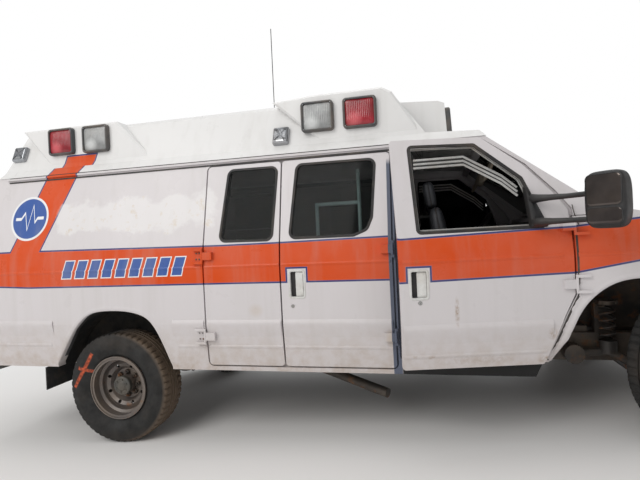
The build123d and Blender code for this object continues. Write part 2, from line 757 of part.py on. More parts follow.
# Nose: one curved block, shelled and parted into bonnet, wings and front panel
def nose_profile(inset, back):
    """Side view of the nose ahead of the doors, its rear end carried back."""
    return (
        (SCREEN_FOOT_X + SEAM, HOOD_REAR_Z - inset),
        (SCREEN_FOOT_X + SEAM, COWL_Z - SEAM - inset),
        (POST_X + SEAM - back, COWL_Z - SEAM - inset),
        (POST_X + SEAM - back, 906),
        (1376 + SEAM - back, 788),
        (1310 + SEAM - back, 631),
        (1252 + SEAM - back, NOSE_LOW_Z - 2 * inset),
        (NOSE_X - 20 - inset, NOSE_LOW_Z - 2 * inset),
        (NOSE_X - inset, 600),
        (NOSE_X - inset, 1010),
        (HOOD_LIP_X - inset, HOOD_FRONT_Z - inset),
    )


def nose_core(inset, back):
    """The nose as a solid: side view, plan and body section in common, set in by inset."""
    profile = nose_profile(inset, back)
    half = WIDEST + 20 - inset
    flank = NOSE_FLANK_Y - inset
    corner = NOSE_CORNER_Y - inset
    tip = NOSE_X - inset
    with BuildPart() as nose:
        with BuildSketch(Plane.XZ):
            with BuildLine():
                Polyline(*profile)
                ThreePointArc(profile[-1], (HOOD_MID_X, HOOD_MID_Z - inset), profile[0])
            make_face()
        extrude(amount=1100, both=True)
        with BuildSketch(Plane.XY.offset(300)):
            with BuildLine():
                Polyline((1750, -half), (1100, -half), (1100, half), (1750, half))
                for hand in (RIGHT, LEFT):
                    waist = hand * ((half + flank) / 2 + 12)
                    shoulder = hand * ((flank + corner) / 2 + 30)
                    ThreePointArc((1750, hand * half), (2120, waist), (2440, hand * flank))
                    ThreePointArc((2440, hand * flank), (tip - 55, shoulder), (tip, hand * corner))
                Line((tip, -corner), (tip, corner))
            make_face()
        extrude(amount=1300, mode=Mode.INTERSECT)
        add(body_core(inset, 1100, NOSE_X + 10, 300, 1500), mode=Mode.INTERSECT)
    return nose.part


nose_shell = nose_core(0, 0) - nose_core(NOSE_SHEET, 150)

with BuildPart() as hood:
    add(nose_shell & block(SCREEN_FOOT_X + 2 * SEAM, HOOD_FRONT_X, -HOOD_HALF, HOOD_HALF, 900, 1500))
    for side in (RIGHT, LEFT):
        middle = (HOOD_AXIS[0], side * HOOD_HINGE_Y, HOOD_AXIS[1])
        with Locations(middle):
            Cylinder(HINGE_EYE, HINGE_LENGTH / 2, rotation=(90, 0, 0))
        with Locations((middle[0] + 26, middle[1], middle[2] - 10)):
            Box(52, HINGE_LENGTH / 2, 26, rotation=(0, 11, 0))
        with Locations(middle):
            Cylinder(HINGE_PIN + SEAT_GAP, HINGE_LENGTH, rotation=(90, 0, 0), mode=Mode.SUBTRACT)

with BuildPart() as wings:
    for side in (RIGHT, LEFT):
        add(nose_shell & block(1200, HOOD_FRONT_X + SHUT_GAP - SEAT_GAP, side * (HOOD_HALF + SHUT_GAP), side * 1100,
                               300, 1500))
        add(side_prism(FRONT_ARCH, side, 0, 40), mode=Mode.SUBTRACT)
        add(side_pins(FRONT_HINGE_X, side, FRONT_HINGE_HEIGHTS, HINGE_REACH))
        add(block(POST_X + SEAT_GAP, POST_X + 30, side * 945, side * 972, 1000, 1200))

with BuildPart() as front_panel:
    add(nose_shell & block(HOOD_FRONT_X + SHUT_GAP, NOSE_X + 10, -1100, 1100, 300, 1500))
    add(block(HOOD_FRONT_X, NOSE_X + 50, -1100, 1100, 300, PANEL_LOW_Z), mode=Mode.SUBTRACT)
    add(block(HOOD_FRONT_X, NOSE_X + 50, -GRILLE_HALF, GRILLE_HALF, GRILLE_LOW_Z, GRILLE_TOP_Z),
        mode=Mode.SUBTRACT)
    for side in (RIGHT, LEFT):
        add(block(HOOD_FRONT_X, NOSE_X + 50, side * LAMP_INNER_Y, side * 1100, LAMP_LOW_Z, LAMP_TOP_Z),
            mode=Mode.SUBTRACT)

with BuildPart() as headlamps:
    for side in (RIGHT, LEFT):
        add(nose_core(LAMP_SEAM, 0) & block(HOOD_FRONT_X + SHUT_GAP, NOSE_X, side * (LAMP_INNER_Y + LAMP_SEAM),
            side * 1100, LAMP_LOW_Z + LAMP_SEAM, LAMP_TOP_Z - LAMP_SEAM))
    add(nose_core(70, 150), mode=Mode.SUBTRACT)

with BuildPart() as grille:
    high = GRILLE_TOP_Z - GRILLE_LOW_Z
    face_x = NOSE_X - NOSE_SHEET
    add(block(face_x, NOSE_X - 4, -GRILLE_HALF, GRILLE_HALF, GRILLE_LOW_Z, GRILLE_TOP_Z))
    bar_gap = (high - 24) / GRILLE_BARS
    for row in range(GRILLE_BARS):
        low = GRILLE_LOW_Z + 24 + row * bar_gap
        add(block(face_x - 5, NOSE_X + 5, -GRILLE_HALF + 24, GRILLE_HALF - 24, low, low + bar_gap - 24), mode=Mode.SUBTRACT)


# Raised roof
def roof_core(inset):
    """The roof's outer form as a solid, set in by inset and carried on below the drip rail."""
    low = RAIL_Z - 200
    side_view = [(ROOF_SIDE[0][0], low), *ROOF_SIDE, (ROOF_SIDE[-1][0], low)]
    right = [(-ROOF_ROWS[0][0], low)] + [(-y, z) for y, z in ROOF_ROWS]
    left = [(-y, z) for y, z in reversed(right)]
    with BuildPart() as core:
        with BuildSketch(Plane.XZ):
            with BuildLine():
                Polyline(*side_view, close=True)
            make_face()
            if inset:
                offset(amount=-inset, kind=Kind.INTERSECTION)
        extrude(amount=1000, both=True)
        with BuildSketch(Plane.YZ.offset(ROOF_SIDE[0][0] - 50)):
            with BuildLine():
                Polyline(*right, (0, ROOF_CROWN_Z), *left, close=True)
            make_face()
            if inset:
                offset(amount=-inset, kind=Kind.INTERSECTION)
        extrude(amount=3800, mode=Mode.INTERSECT)
    return core.part


def roof_pod(points, side):
    """A light pod: a flat upright face standing out from the sloping roof side."""
    with BuildPart() as pod:
        add(side_prism(points, side, 0, 0, POD_ROOT, POD_FACE))
        chamfer(pod.faces().sort_by(Axis.Y)[0 if side == RIGHT else -1].edges(), POD_EDGE)
    return pod.part


with BuildPart() as raised_roof:
    add(roof_core(0))
    for side in (RIGHT, LEFT):
        add(roof_pod(REAR_POD, side))
        add(roof_pod(FRONT_POD, side))
    add(across_prism(FRONT_BOX, BOX_HALF))
    add(roof_core(ROOF_SHEET), mode=Mode.SUBTRACT)
    split(bisect_by=Plane.XY.offset(RAIL_Z), keep=Keep.TOP)


def lamp_at(plane, wide, high, depth, corner):
    """A rounded lamp housing standing on a plane, with a shallow lens step."""
    with BuildPart() as lamp:
        with BuildSketch(plane):
            RectangleRounded(wide, high, corner)
        extrude(amount=depth * 0.6)
        with BuildSketch(plane.offset(depth * 0.6)):
            RectangleRounded(wide - 26, high - 26, corner - 8)
        extrude(amount=depth * 0.4, taper=12)
    return lamp.part


REAR_SLOPE = degrees(atan2(ROOF_SIDE[2][0] - ROOF_SIDE[1][0], ROOF_SIDE[2][1] - ROOF_SIDE[1][1]))
SIDE_SLOPE = degrees(atan2(ROOF_ROWS[1][0] - ROOF_ROWS[2][0], ROOF_ROWS[2][1] - ROOF_ROWS[1][1]))


def roof_rear_x(height):
    """X of the roof's sloping rear face at a height."""
    return ROOF_SIDE[1][0] + (height - ROOF_SIDE[1][1]) * sin(radians(REAR_SLOPE)) / cos(radians(REAR_SLOPE))


def roof_side_y(height):
    """Half breadth of the roof's sloping side at a height."""
    return ROOF_ROWS[1][0] - (height - ROOF_ROWS[1][1]) * sin(radians(SIDE_SLOPE)) / cos(radians(SIDE_SLOPE))


with BuildPart() as roof_lamps:
    for side in (RIGHT, LEFT):
        for x, z in POD_LAMPS:
            face = Plane(origin=(x, side * POD_FACE, z), x_dir=(-side, 0, 0), z_dir=(0, side, 0))
            add(lamp_at(face, LAMP_LONG, LAMP_HIGH, LAMP_DEPTH, LAMP_CORNER))
    for y in BOX_LAMPS_Y:
        slope = (FRONT_BOX[4][0] - FRONT_BOX[3][0]) / (FRONT_BOX[3][1] - FRONT_BOX[4][1])
        x = FRONT_BOX[4][0] - (BOX_LAMP_Z - FRONT_BOX[4][1]) * slope + 0.3
        face = Plane(origin=(x, y, BOX_LAMP_Z), x_dir=(0, 1, 0), z_dir=(1, 0, slope))
        add(lamp_at(face, BOX_LAMP_WIDE, LAMP_HIGH, LAMP_DEPTH, LAMP_CORNER))
    for y in REAR_LAMPS_Y:
        face = Plane(
            origin=(roof_rear_x(REAR_LAMP_Z), y, REAR_LAMP_Z),
            x_dir=(0, -1, 0),
            z_dir=(-cos(radians(REAR_SLOPE)), 0, sin(radians(REAR_SLOPE))),
        )
        add(lamp_at(face, LAMP_LONG, LAMP_HIGH, LAMP_DEPTH, LAMP_CORNER))

    for side in (RIGHT, LEFT):
        for x, z, wide, high in SCENE_LAMPS:
            face = Plane(
                origin=(x, side * roof_side_y(z), z),
                x_dir=(-side, 0, 0),
                z_dir=(0, side * cos(radians(SIDE_SLOPE)), sin(radians(SIDE_SLOPE))),
            )
            add(lamp_at(face, wide, high, 48, 26))

with BuildPart() as antenna:
    foot = ROOF_CROWN_Z + 1 - abs(ANTENNA_Y) * (ROOF_CROWN_Z - ROOF_ROWS[3][1]) / ROOF_ROWS[3][0]
    with BuildSketch(Plane.XY.offset(foot)):
        with Locations((ANTENNA_X, ANTENNA_Y)):
            Circle(24)
    extrude(amount=38, taper=20)
    add(rod((ANTENNA_X, ANTENNA_Y, foot + 30), (ANTENNA_X, ANTENNA_Y, ANTENNA_TOP_Z), 3))

with BuildPart() as tail_lamps:
    for side in (RIGHT, LEFT):
        face = Plane(origin=(REAR_X, side * 892, 1090), x_dir=(0, -1, 0), z_dir=(-1, 0, 0))
        add(lamp_at(face, 112, 300, 26, 20))


# Bumpers
def bow(reach):
    """Plan arc of the front bumper's face at a given reach."""
    return (reach - BUMPER_SWEEP, -BUMPER_HALF), (reach, 0), (reach - BUMPER_SWEEP, BUMPER_HALF)


with BuildPart() as front_bumper:
    with BuildSketch(Plane.XY.offset(FRONT_BUMPER_Z - FRONT_BUMPER_HIGH / 2)):
        with BuildLine():
            ThreePointArc(*bow(BUMPER_REACH))
            ThreePointArc(*bow(BUMPER_REACH - BUMPER_SHEET))
            for hand in (RIGHT, LEFT):
                Line((BUMPER_REACH - BUMPER_SWEEP, hand * BUMPER_HALF),
                     (BUMPER_REACH - BUMPER_SWEEP - BUMPER_SHEET, hand * BUMPER_HALF))
        make_face()
    extrude(amount=FRONT_BUMPER_HIGH)
    chamfer(front_bumper.faces().sort_by(Axis.Z)[-1].edges().sort_by(Axis.X)[-1], 12)
    for side in (RIGHT, LEFT):
        add(block(RAIL_FRONT_X, RAIL_FRONT_X + 40, side * (RAIL_Y - 30), side * (RAIL_Y + 30),
                  FRONT_BUMPER_Z - 75, NOSE_LOW_Z - 6))

with BuildPart() as rear_bumper:
    low = REAR_BUMPER_Z - REAR_BUMPER_HIGH / 2
    add(block(-BUMPER_REACH, REAR_BUMPER_FRONT_X, -930, 930, low, low + REAR_BUMPER_HIGH))
    fillet(rear_bumper.edges().filter_by(Axis.Z).group_by(Axis.X)[0], 60)
    for side in (RIGHT, LEFT):
        add(block(REAR_BUMPER_FRONT_X - 5, RAIL_REAR_X, side * (RAIL_Y - 30), side * (RAIL_Y + 30),
                  RAIL_FOOT_Z, SILL_Z - 4))

# Ladder frame: two channels with pressed cross members between them
with BuildPart() as chassis_frame:
    for side in (RIGHT, LEFT):
        with BuildSketch(Plane.YZ.offset(RAIL_REAR_X)):
            with Locations((side * RAIL_Y, RAIL_FOOT_Z + RAIL_HIGH / 2)):
                Rectangle(RAIL_WIDE, RAIL_HIGH)
            with Locations((side * (RAIL_Y - RAIL_SHEET), RAIL_FOOT_Z + RAIL_HIGH / 2)):
                Rectangle(RAIL_WIDE, RAIL_HIGH - 2 * RAIL_SHEET, mode=Mode.SUBTRACT)
        extrude(amount=RAIL_FRONT_X - RAIL_REAR_X)
    for x in CROSS_MEMBERS_X:
        with BuildSketch(Plane.XZ.offset(-RAIL_Y - RAIL_WIDE / 2 + RAIL_SHEET)):
            with Locations((x, RAIL_FOOT_Z + RAIL_HIGH - 50)):
                Rectangle(90, 90)
                Rectangle(70, 70, mode=Mode.SUBTRACT)
        extrude(amount=2 * (RAIL_Y + RAIL_WIDE / 2 - RAIL_SHEET))
    add(block(FRONT_AXLE_X - 95, FRONT_AXLE_X + 115, -RAIL_Y, RAIL_Y, RAIL_FOOT_Z, RAIL_FOOT_Z + 105))
    for side in (RIGHT, LEFT):
        add(block(*JACK_PAD_X, side * (RAIL_Y - 30), side * (RAIL_Y + 30), RAIL_FOOT_Z - JACK_PAD, RAIL_FOOT_Z))
        with BuildSketch(Plane.XY.offset(COIL_TOP_Z)):
            with Locations((COIL_X, side * ARM_Y)):
                Circle(COIL_RADIUS + COIL_SEAT)
            with Locations((COIL_X, side * (ARM_Y + RAIL_Y) / 2)):
                Rectangle(110, ARM_Y - RAIL_Y + RAIL_WIDE)
        extrude(amount=22)
        add(block(COIL_X - 55, COIL_X + 55, side * (RAIL_Y - 30), side * (RAIL_Y + 30), RAIL_FOOT_Z + RAIL_HIGH,
                  COIL_TOP_Z + 22))

# Floor with sealed edges and two wheel tubs
tub_hub = (REAR_AXLE_X, REAR_HUB_Z)


def tub_drum(radius, near, far, side):
    """A cylinder about the rear hub line between two half breadths."""
    with BuildPart() as drum:
        with BuildSketch(Plane.XZ.offset(-side * near)):
            with Locations(tub_hub):
                Circle(radius)
        extrude(amount=-side * (far - near))
    return drum.part


floor_body = body_core(WALL, REAR_X + WALL, FLOOR_FRONT_X, RAIL_FOOT_Z, ROOF_RIDGE_Z)
with BuildPart() as floor_pan:
    add(body_core(WALL, REAR_X + WALL, FLOOR_FRONT_X, FLOOR_Z - FLOOR_PLATE, FLOOR_Z))
    for side in (RIGHT, LEFT):
        add(side_prism(FRONT_DOOR, side, 10, 0, 900), mode=Mode.SUBTRACT)
    add(side_prism(LOAD_OPENING, RIGHT, 10, 0, 900), mode=Mode.SUBTRACT)
    add(block(895, FLOOR_FRONT_X, -TUNNEL_HALF, TUNNEL_HALF, 500, 700), mode=Mode.SUBTRACT)
    add(block(REAR_X, REAR_X + WALL + 8, -REAR_DOOR_HALF, REAR_DOOR_HALF, 500, 700), mode=Mode.SUBTRACT)
    for side in (RIGHT, LEFT):
        add(tub_drum(TUB_RADIUS, TUB_INNER_Y - TUB_SHEET, 950, side) & floor_body)
        add(tub_drum(TUB_RADIUS - TUB_SHEET, TUB_INNER_Y, 950, side), mode=Mode.SUBTRACT)
    add(block(*COT_PLATE, FLOOR_Z, FLOOR_Z + COT_PLATE_THICK))


# Wheels
def wheel_plane(side, x, track, z):
    """Plane through a hub, its local X along the radius and its local Y outboard."""
    return Plane(origin=(x, side * track / 2, z), x_dir=(1, 0, 0), z_dir=(0, 0, side))


def steered(part, side):
    """Turn a front wheel or knuckle about its kingpin to where the photograph shows it."""
    pin = (FRONT_AXLE_X, side * (FRONT_TRACK / 2 - KINGPIN_INSET), FRONT_HUB_Z)
    return part.rotate(Axis(pin, (0, 0, 1)), STEER_AT_REST)


def tyre(plane, hub):
    """A tyre as one revolved section with a flat tread and bulged walls."""
    bead, tread, bulge = BEAD_WIDTH / 2, TREAD_WIDTH / 2, TYRE_WIDTH / 2
    mid = (BEAD_RADIUS + TYRE_RADIUS) / 2 + 8
    with BuildPart() as made:
        with BuildSketch(plane):
            with BuildLine():
                Line((BEAD_RADIUS, -bead), (BEAD_RADIUS, bead))
                Line((BEAD_RADIUS, bead), (RIM_LIP_RADIUS + 4, bead))
                ThreePointArc((RIM_LIP_RADIUS + 4, bead), (mid, bulge), (TYRE_RADIUS - 22, tread + 13))
                ThreePointArc((TYRE_RADIUS - 22, tread + 13), (TYRE_RADIUS - 8, tread + 8), (TYRE_RADIUS - 3, tread))
                ThreePointArc((TYRE_RADIUS - 3, tread), (TYRE_RADIUS, 0), (TYRE_RADIUS - 3, -tread))
                ThreePointArc((TYRE_RADIUS - 3, -tread), (TYRE_RADIUS - 8, -tread - 8), (TYRE_RADIUS - 22, -tread - 13))
                ThreePointArc((TYRE_RADIUS - 22, -tread - 13), (mid, -bulge), (RIM_LIP_RADIUS + 4, -bead))
                Line((RIM_LIP_RADIUS + 4, -bead), (BEAD_RADIUS, -bead))
            make_face()
        revolve(axis=Axis(hub, (0, 1, 0)))
    return made.part


def steel_wheel(plane, hub, side):
    """A steel wheel: dropped barrel with lips, a dished centre with hand holes, hub and studs."""
    bead, wall = BEAD_WIDTH / 2, RIM_WALL
    outer = (
        (RIM_LIP_RADIUS, -bead - 14),
        (RIM_LIP_RADIUS, -bead - 0.3),
        (BEAD_RADIUS - 0.3, -bead - 0.3),
        (BEAD_RADIUS - 0.3, -42),
        (BEAD_RADIUS - 18, -32),
        (BEAD_RADIUS - 18, 32),
        (BEAD_RADIUS - 0.3, 42),
        (BEAD_RADIUS - 0.3, bead + 0.3),
        (RIM_LIP_RADIUS, bead + 0.3),
        (RIM_LIP_RADIUS, bead + 14),
    )
    half_inner = (
        (RIM_LIP_RADIUS - wall, bead + 14),
        (RIM_LIP_RADIUS - wall, bead + wall),
        (BEAD_RADIUS - wall, bead + wall),
        (BEAD_RADIUS - wall, 46),
        (BEAD_RADIUS - 18 - wall, 36),
    )
    inner = [*half_inner, *((r, -w) for r, w in reversed(half_inner))]
    disc = (
        (HUB_RADIUS - 10, -20),
        (108, -20),
        (128, 12),
        (150, 24),
        (BEAD_RADIUS - 22, 8),
        (BEAD_RADIUS - 22, -2),
        (148, 14),
        (132, 2),
        (112, -30),
        (HUB_RADIUS - 10, -30),
    )
    cap = ((0, -HUB_BACK), (HUB_RADIUS, -HUB_BACK), (HUB_RADIUS, 30), (48, 38), (44, HUB_REACH), (0, HUB_REACH))
    with BuildPart() as made:
        for rows in ([*outer, *inner], disc, cap):
            with BuildSketch(plane):
                with BuildLine():
                    Polyline(*rows, close=True)
                make_face()
            revolve(axis=Axis(hub, (0, 1, 0)))
        face = Plane(origin=hub, x_dir=(1, 0, 0), z_dir=(0, side, 0))
        with BuildSketch(face.offset(-40)):
            with PolarLocations(139, STUD_COUNT, start_angle=22.5):
                Circle(12)
        extrude(amount=90, mode=Mode.SUBTRACT)
        with BuildSketch(face.offset(-HUB_BACK - 1)):
            Circle(SPINDLE_RADIUS + BEARING_GAP)
        extrude(amount=HUB_BACK + 10, mode=Mode.SUBTRACT)
        with BuildSketch(face.offset(-24)):
            with PolarLocations(STUD_CIRCLE / 2, STUD_COUNT):
                Circle(STUD_RADIUS)
        extrude(amount=32)
    return made.part


# Name, side, X, track, hub height, whether it steers
WHEELS = (
    ("rear_right", RIGHT, REAR_AXLE_X, REAR_TRACK, REAR_HUB_Z, False),
    ("rear_left", LEFT, REAR_AXLE_X, REAR_TRACK, REAR_HUB_Z, False),
    ("front_right", RIGHT, FRONT_AXLE_X, FRONT_TRACK, FRONT_HUB_Z, True),
    ("front_left", LEFT, FRONT_AXLE_X, FRONT_TRACK, FRONT_HUB_Z, True),
)
tyres, wheels, knuckles = {}, {}, {}
for name, side, x, track, z, steers in WHEELS:
    plane, hub = wheel_plane(side, x, track, z), (x, side * track / 2, z)
    tyres[name], wheels[name] = tyre(plane, hub), steel_wheel(plane, hub, side)
    if steers:
        tyres[name], wheels[name] = steered(tyres[name], side), steered(wheels[name], side)

# Steering knuckles: spindle, brake disc, upright and two eyes round the kingpin
for name, side, x, track, z, steers in WHEELS[2:]:
    hub_y, pin_y = side * track / 2, side * (track / 2 - KINGPIN_INSET)
    face = Plane(origin=(x, hub_y, z), x_dir=(1, 0, 0), z_dir=(0, side, 0))
    with BuildPart() as knuckle:
        with BuildSketch(face.offset(-96)):
            Circle(SPINDLE_RADIUS)
        extrude(amount=96)
        with BuildSketch(face.offset(-88)):
            Circle(DRUM_RADIUS - 5)
        extrude(amount=26)
        add(block(x - 45, x + 45, hub_y - side * 96, hub_y - side * 80, z - 105, z + 105))
        for foot in (-105, 65):
            with BuildSketch(Plane.XY.offset(z + foot)):
                with Locations((x, pin_y)):
                    Circle(34)
                with Locations((x, pin_y + side * 26)):
                    Rectangle(60, 52)
                with Locations((x, pin_y)):
                    Circle(18 + BEARING_GAP, mode=Mode.SUBTRACT)
            extrude(amount=40)
    knuckles[name] = steered(knuckle.part, side)

# Rear axle: tube, differential, brake drums and spindles
with BuildPart() as rear_axle:
    reach = REAR_TRACK / 2
    with BuildSketch(Plane(origin=(REAR_AXLE_X, 0, REAR_HUB_Z), x_dir=(1, 0, 0), z_dir=(0, 1, 0))):
        Circle(AXLE_RADIUS)
    extrude(amount=reach + DRUM_FROM, both=True)
    with Locations((REAR_AXLE_X, 0, REAR_HUB_Z)):
        Sphere(150)
    add(rod((REAR_AXLE_X, 0, REAR_HUB_Z), (REAR_AXLE_X + 260, 0, REAR_HUB_Z + 12), 62))
    for side in (RIGHT, LEFT):
        face = Plane(origin=(REAR_AXLE_X, side * reach, REAR_HUB_Z), x_dir=(1, 0, 0), z_dir=(0, side, 0))
        with BuildSketch(face.offset(DRUM_FROM)):
            Circle(DRUM_RADIUS)
        extrude(amount=DRUM_TO - DRUM_FROM)
        with BuildSketch(face.offset(DRUM_TO - 5)):
            Circle(SPINDLE_RADIUS)
        extrude(amount=-DRUM_TO + 5)

# Rear leaf springs on their hangers, and the coil springs behind the front wheels
with BuildPart() as springs:
    low = REAR_HUB_Z + AXLE_RADIUS
    for side in (RIGHT, LEFT):
        with BuildSketch(Plane.XZ.offset(-side * (SPRING_Y - SPRING_WIDE / 2))):
            with BuildLine():
                ends = [(REAR_AXLE_X - SPRING_REACH, SPRING_EYE_Z), (REAR_AXLE_X + SPRING_REACH, SPRING_EYE_Z)]
                ThreePointArc(ends[0], (REAR_AXLE_X, low), ends[1])
                lifted = [(x, z + SPRING_THICK * 0.5) for x, z in ends]
                ThreePointArc(lifted[0], (REAR_AXLE_X, low + SPRING_THICK), lifted[1])
                Line(ends[0], lifted[0])
                Line(ends[1], lifted[1])
            make_face()
        extrude(amount=-side * SPRING_WIDE)
        for x, z in ends:
            hanger = side * (RAIL_Y + RAIL_WIDE / 2)
            add(block(x - 34, x + 34, hanger, side * (SPRING_Y + SPRING_WIDE / 2 + 4), z - 14, FLOOR_Z - FLOOR_PLATE))
    for side in (RIGHT, LEFT):
        with BuildLine():
            turns = Helix(COIL_PITCH, COIL_TURNS * COIL_PITCH - 2 * COIL_WIRE, COIL_RADIUS,
                          center=(COIL_X, side * ARM_Y, COIL_LOW_Z + COIL_WIRE))
        with BuildSketch(Plane(origin=turns @ 0, z_dir=turns % 0)):
            Circle(COIL_WIRE)
        sweep(path=turns)

# Twin front beams on their pivots, and the radius arms that the coil springs stand on
with BuildPart() as front_beams:
    for side in (RIGHT, LEFT):
        pin_y = side * (FRONT_TRACK / 2 - KINGPIN_INSET)
        pivot = (FRONT_AXLE_X + side * 75, -side * 300, RAIL_FOOT_Z - 55)
        foot = (FRONT_AXLE_X + side * 75, side * 470, RAIL_FOOT_Z - 55)
        eye = (FRONT_AXLE_X, pin_y, FRONT_HUB_Z)
        add(rod(pivot, foot, BEAM_WIDE / 2))
        with Locations(foot):
            Sphere(BEAM_WIDE / 2)
        add(rod(foot, (eye[0], eye[1] - side * 20, eye[2] - 10), BEAM_WIDE / 2))
        with Locations(eye):
            Cylinder(36, 104)
            Cylinder(18, 214)
        add(block(pivot[0] - 40, pivot[0] + 40, pivot[1] - 40, pivot[1] + 40, pivot[2] - 30, RAIL_FOOT_Z))

    for side in (RIGHT, LEFT):
        bush = (ARM_BUSH_X, side * ARM_Y, ARM_BUSH_Z)
        seat = (COIL_X, side * ARM_Y, COIL_LOW_Z - 70)
        nose = (FRONT_AXLE_X + side * 50, side * (ARM_Y + 10), FRONT_HUB_Z - 120)
        add(rod(bush, seat, 26))
        add(rod(seat, nose, 26))
        with BuildSketch(Plane(origin=(ARM_BUSH_X, side * (ARM_Y - 40), ARM_BUSH_Z), z_dir=(0, side, 0))):
            Circle(ARM_BUSH_RADIUS)
        extrude(amount=80)
        with BuildSketch(Plane.XY.offset(COIL_LOW_Z - 80)):
            with Locations((COIL_X, side * ARM_Y)):
                Circle(COIL_RADIUS + COIL_SEAT)
        extrude(amount=80)
        add(block(ARM_BUSH_X - 30, ARM_BUSH_X + 30, side * (RAIL_Y + RAIL_WIDE / 2), side * (ARM_Y - 38),
                  ARM_BUSH_Z - 50, ARM_BUSH_Z + 50))

# Engine, transmission and shaft, tank and exhaust
with BuildPart() as engine_and_shaft:
    add(block(*ENGINE))
    chamfer(engine_and_shaft.edges().filter_by(Axis.X), 60)
    for x in (ENGINE[0] + 90, ENGINE[1] - 160):
        add(block(x - 50, x + 50, -RAIL_Y - 10, RAIL_Y + 10, RAIL_FOOT_Z + RAIL_HIGH, RAIL_FOOT_Z + RAIL_HIGH + 40))

    nose, tail = Vector(ENGINE[0], 0, 560), Vector(REAR_AXLE_X + 263, 0, REAR_HUB_Z + 12)
    box_end = nose + (tail - nose) * 0.25
    with BuildSketch(Plane(origin=nose, z_dir=tail - nose)):
        Circle(150)
    extrude(amount=(box_end - nose).length, taper=7)
    add(rod(tuple(box_end), tuple(tail), 42))

with BuildPart() as fuel_tank:
    add(block(-620, 260, 80, 385, 300, RAIL_FOOT_Z + RAIL_HIGH - 95))
    fillet(fuel_tank.edges().filter_by(Axis.X).group_by(Axis.Z)[0], 50)

with BuildPart() as exhaust:
    for start, end in zip(EXHAUST_RUN, EXHAUST_RUN[1:]):
        add(rod(start, end, PIPE_RADIUS))
    add(rod(EXHAUST_RUN[0], (EXHAUST_RUN[0][0] + TAIL_TIP_LONG, *EXHAUST_RUN[0][1:]), TAIL_TIP_RADIUS))
    for point in EXHAUST_RUN[1:-1]:
        with Locations(point):
            Sphere(PIPE_RADIUS)
    add(rod((-890, -290, 384), (-440, -290, 347), 85))
    for x in HANGERS_X:
        add(block(x - 12, x + 12, EXHAUST_RUN[0][1], -(RAIL_Y - RAIL_WIDE / 2 - SEAT_GAP), RAIL_FOOT_Z, RAIL_FOOT_Z + RAIL_SHEET))

# Cab: pedestals, cushions, backs, dashboard, steering wheel and engine cover
with BuildPart() as seat_bases:
    for side in (RIGHT, LEFT):
        add(block(SEAT_X - 190, SEAT_X + 200, side * (SEAT_Y - 190), side * (SEAT_Y + 190),
                  FLOOR_Z, SEAT_TOP_Z - SEAT_THICK - SOFT_GAP))
    chamfer(seat_bases.edges().filter_by(Axis.Z), 30)

with BuildPart() as cab_seats:
    for side in (RIGHT, LEFT):
        add(block(SEAT_X - SEAT_LONG / 2, SEAT_X + SEAT_LONG / 2, side * (SEAT_Y - SEAT_WIDE / 2),
                  side * (SEAT_Y + SEAT_WIDE / 2), SEAT_TOP_Z - SEAT_THICK, SEAT_TOP_Z))
    fillet(cab_seats.edges().filter_by(Axis.Z), 60)
    hinge = (SEAT_X - SEAT_LONG / 2 - SOFT_GAP, SEAT_TOP_Z - SEAT_THICK + 20)
    lean = radians(SEAT_BACK_LEAN)
    along = (-sin(lean), cos(lean))
    for side in (RIGHT, LEFT):
        for wide, start, end, thick in ((SEAT_WIDE - 20, 0, SEAT_BACK_LONG, 110), (280, SEAT_BACK_LONG, 750, 85)):
            face = Plane(
                origin=(hinge[0] + along[0] * start, side * SEAT_Y, hinge[1] + along[1] * start),
                x_dir=(0, 1, 0),
                z_dir=(along[0], 0, along[1]),
            )
            with BuildSketch(face):
                with Locations((0, thick / 2 * (1 if face.y_dir.X < 0 else -1))):
                    RectangleRounded(wide, thick, 36)
            extrude(amount=end - start)

with BuildPart() as dashboard:
    add(across_prism(DASH_SIDE, DASH_HALF))
    fillet(dashboard.edges().filter_by(Axis.Y).group_by(Axis.X)[0], 24)

with BuildPart() as steering_wheel:
    tilt = radians(STEER_WHEEL_TILT)
    face = Plane(
        origin=(STEER_WHEEL[0], SEAT_Y, STEER_WHEEL[1]),
        x_dir=(0, 1, 0),
        z_dir=(-cos(tilt), 0, sin(tilt)),
    )
    with Locations(face):
        Torus(STEER_WHEEL_RADIUS, 14)
    for turn in (0, 120, 240):
        angle = radians(turn + 90)
        tip = face.from_local_coords((STEER_WHEEL_RADIUS * cos(angle), STEER_WHEEL_RADIUS * sin(angle), 0))
        add(rod(tuple(face.from_local_coords((0, 0, -25))), tuple(tip), 12))
    with BuildSketch(face.offset(-40)):
        Circle(62)
    extrude(amount=44)
    with BuildSketch(face.offset(-30)):
        Circle(30)
    extrude(amount=-150)
    add(dashboard.part, mode=Mode.SUBTRACT)

with BuildPart() as engine_cover:
    add(across_prism(((880, FLOOR_Z), (1199, FLOOR_Z), (1199, 700), (1284, 890), (1284, 945), (930, 925)), COVER_HALF))
    add(across_prism(((910, FLOOR_Z - 5), (1300, FLOOR_Z - 5), (1300, 915), (955, 895)), COVER_HALF - 18),
        mode=Mode.SUBTRACT)

# Load space: bench, cabinets, counter, cab bulkhead, and the grab frame that shows through the glass
tub_right = tub_drum(TUB_RADIUS + 3, TUB_INNER_Y - TUB_SHEET - 3, 1000, RIGHT)
tub_left = tub_drum(TUB_RADIUS + 3, TUB_INNER_Y - TUB_SHEET - 3, 1000, LEFT)
with BuildPart() as bench_cushion:
    add(block(*BENCH_X, -BENCH_Y[0], -BENCH_Y[1], BENCH_TOP_Z + SOFT_GAP, BENCH_TOP_Z + 90))
    fillet(bench_cushion.edges().filter_by(Axis.Z), 40)

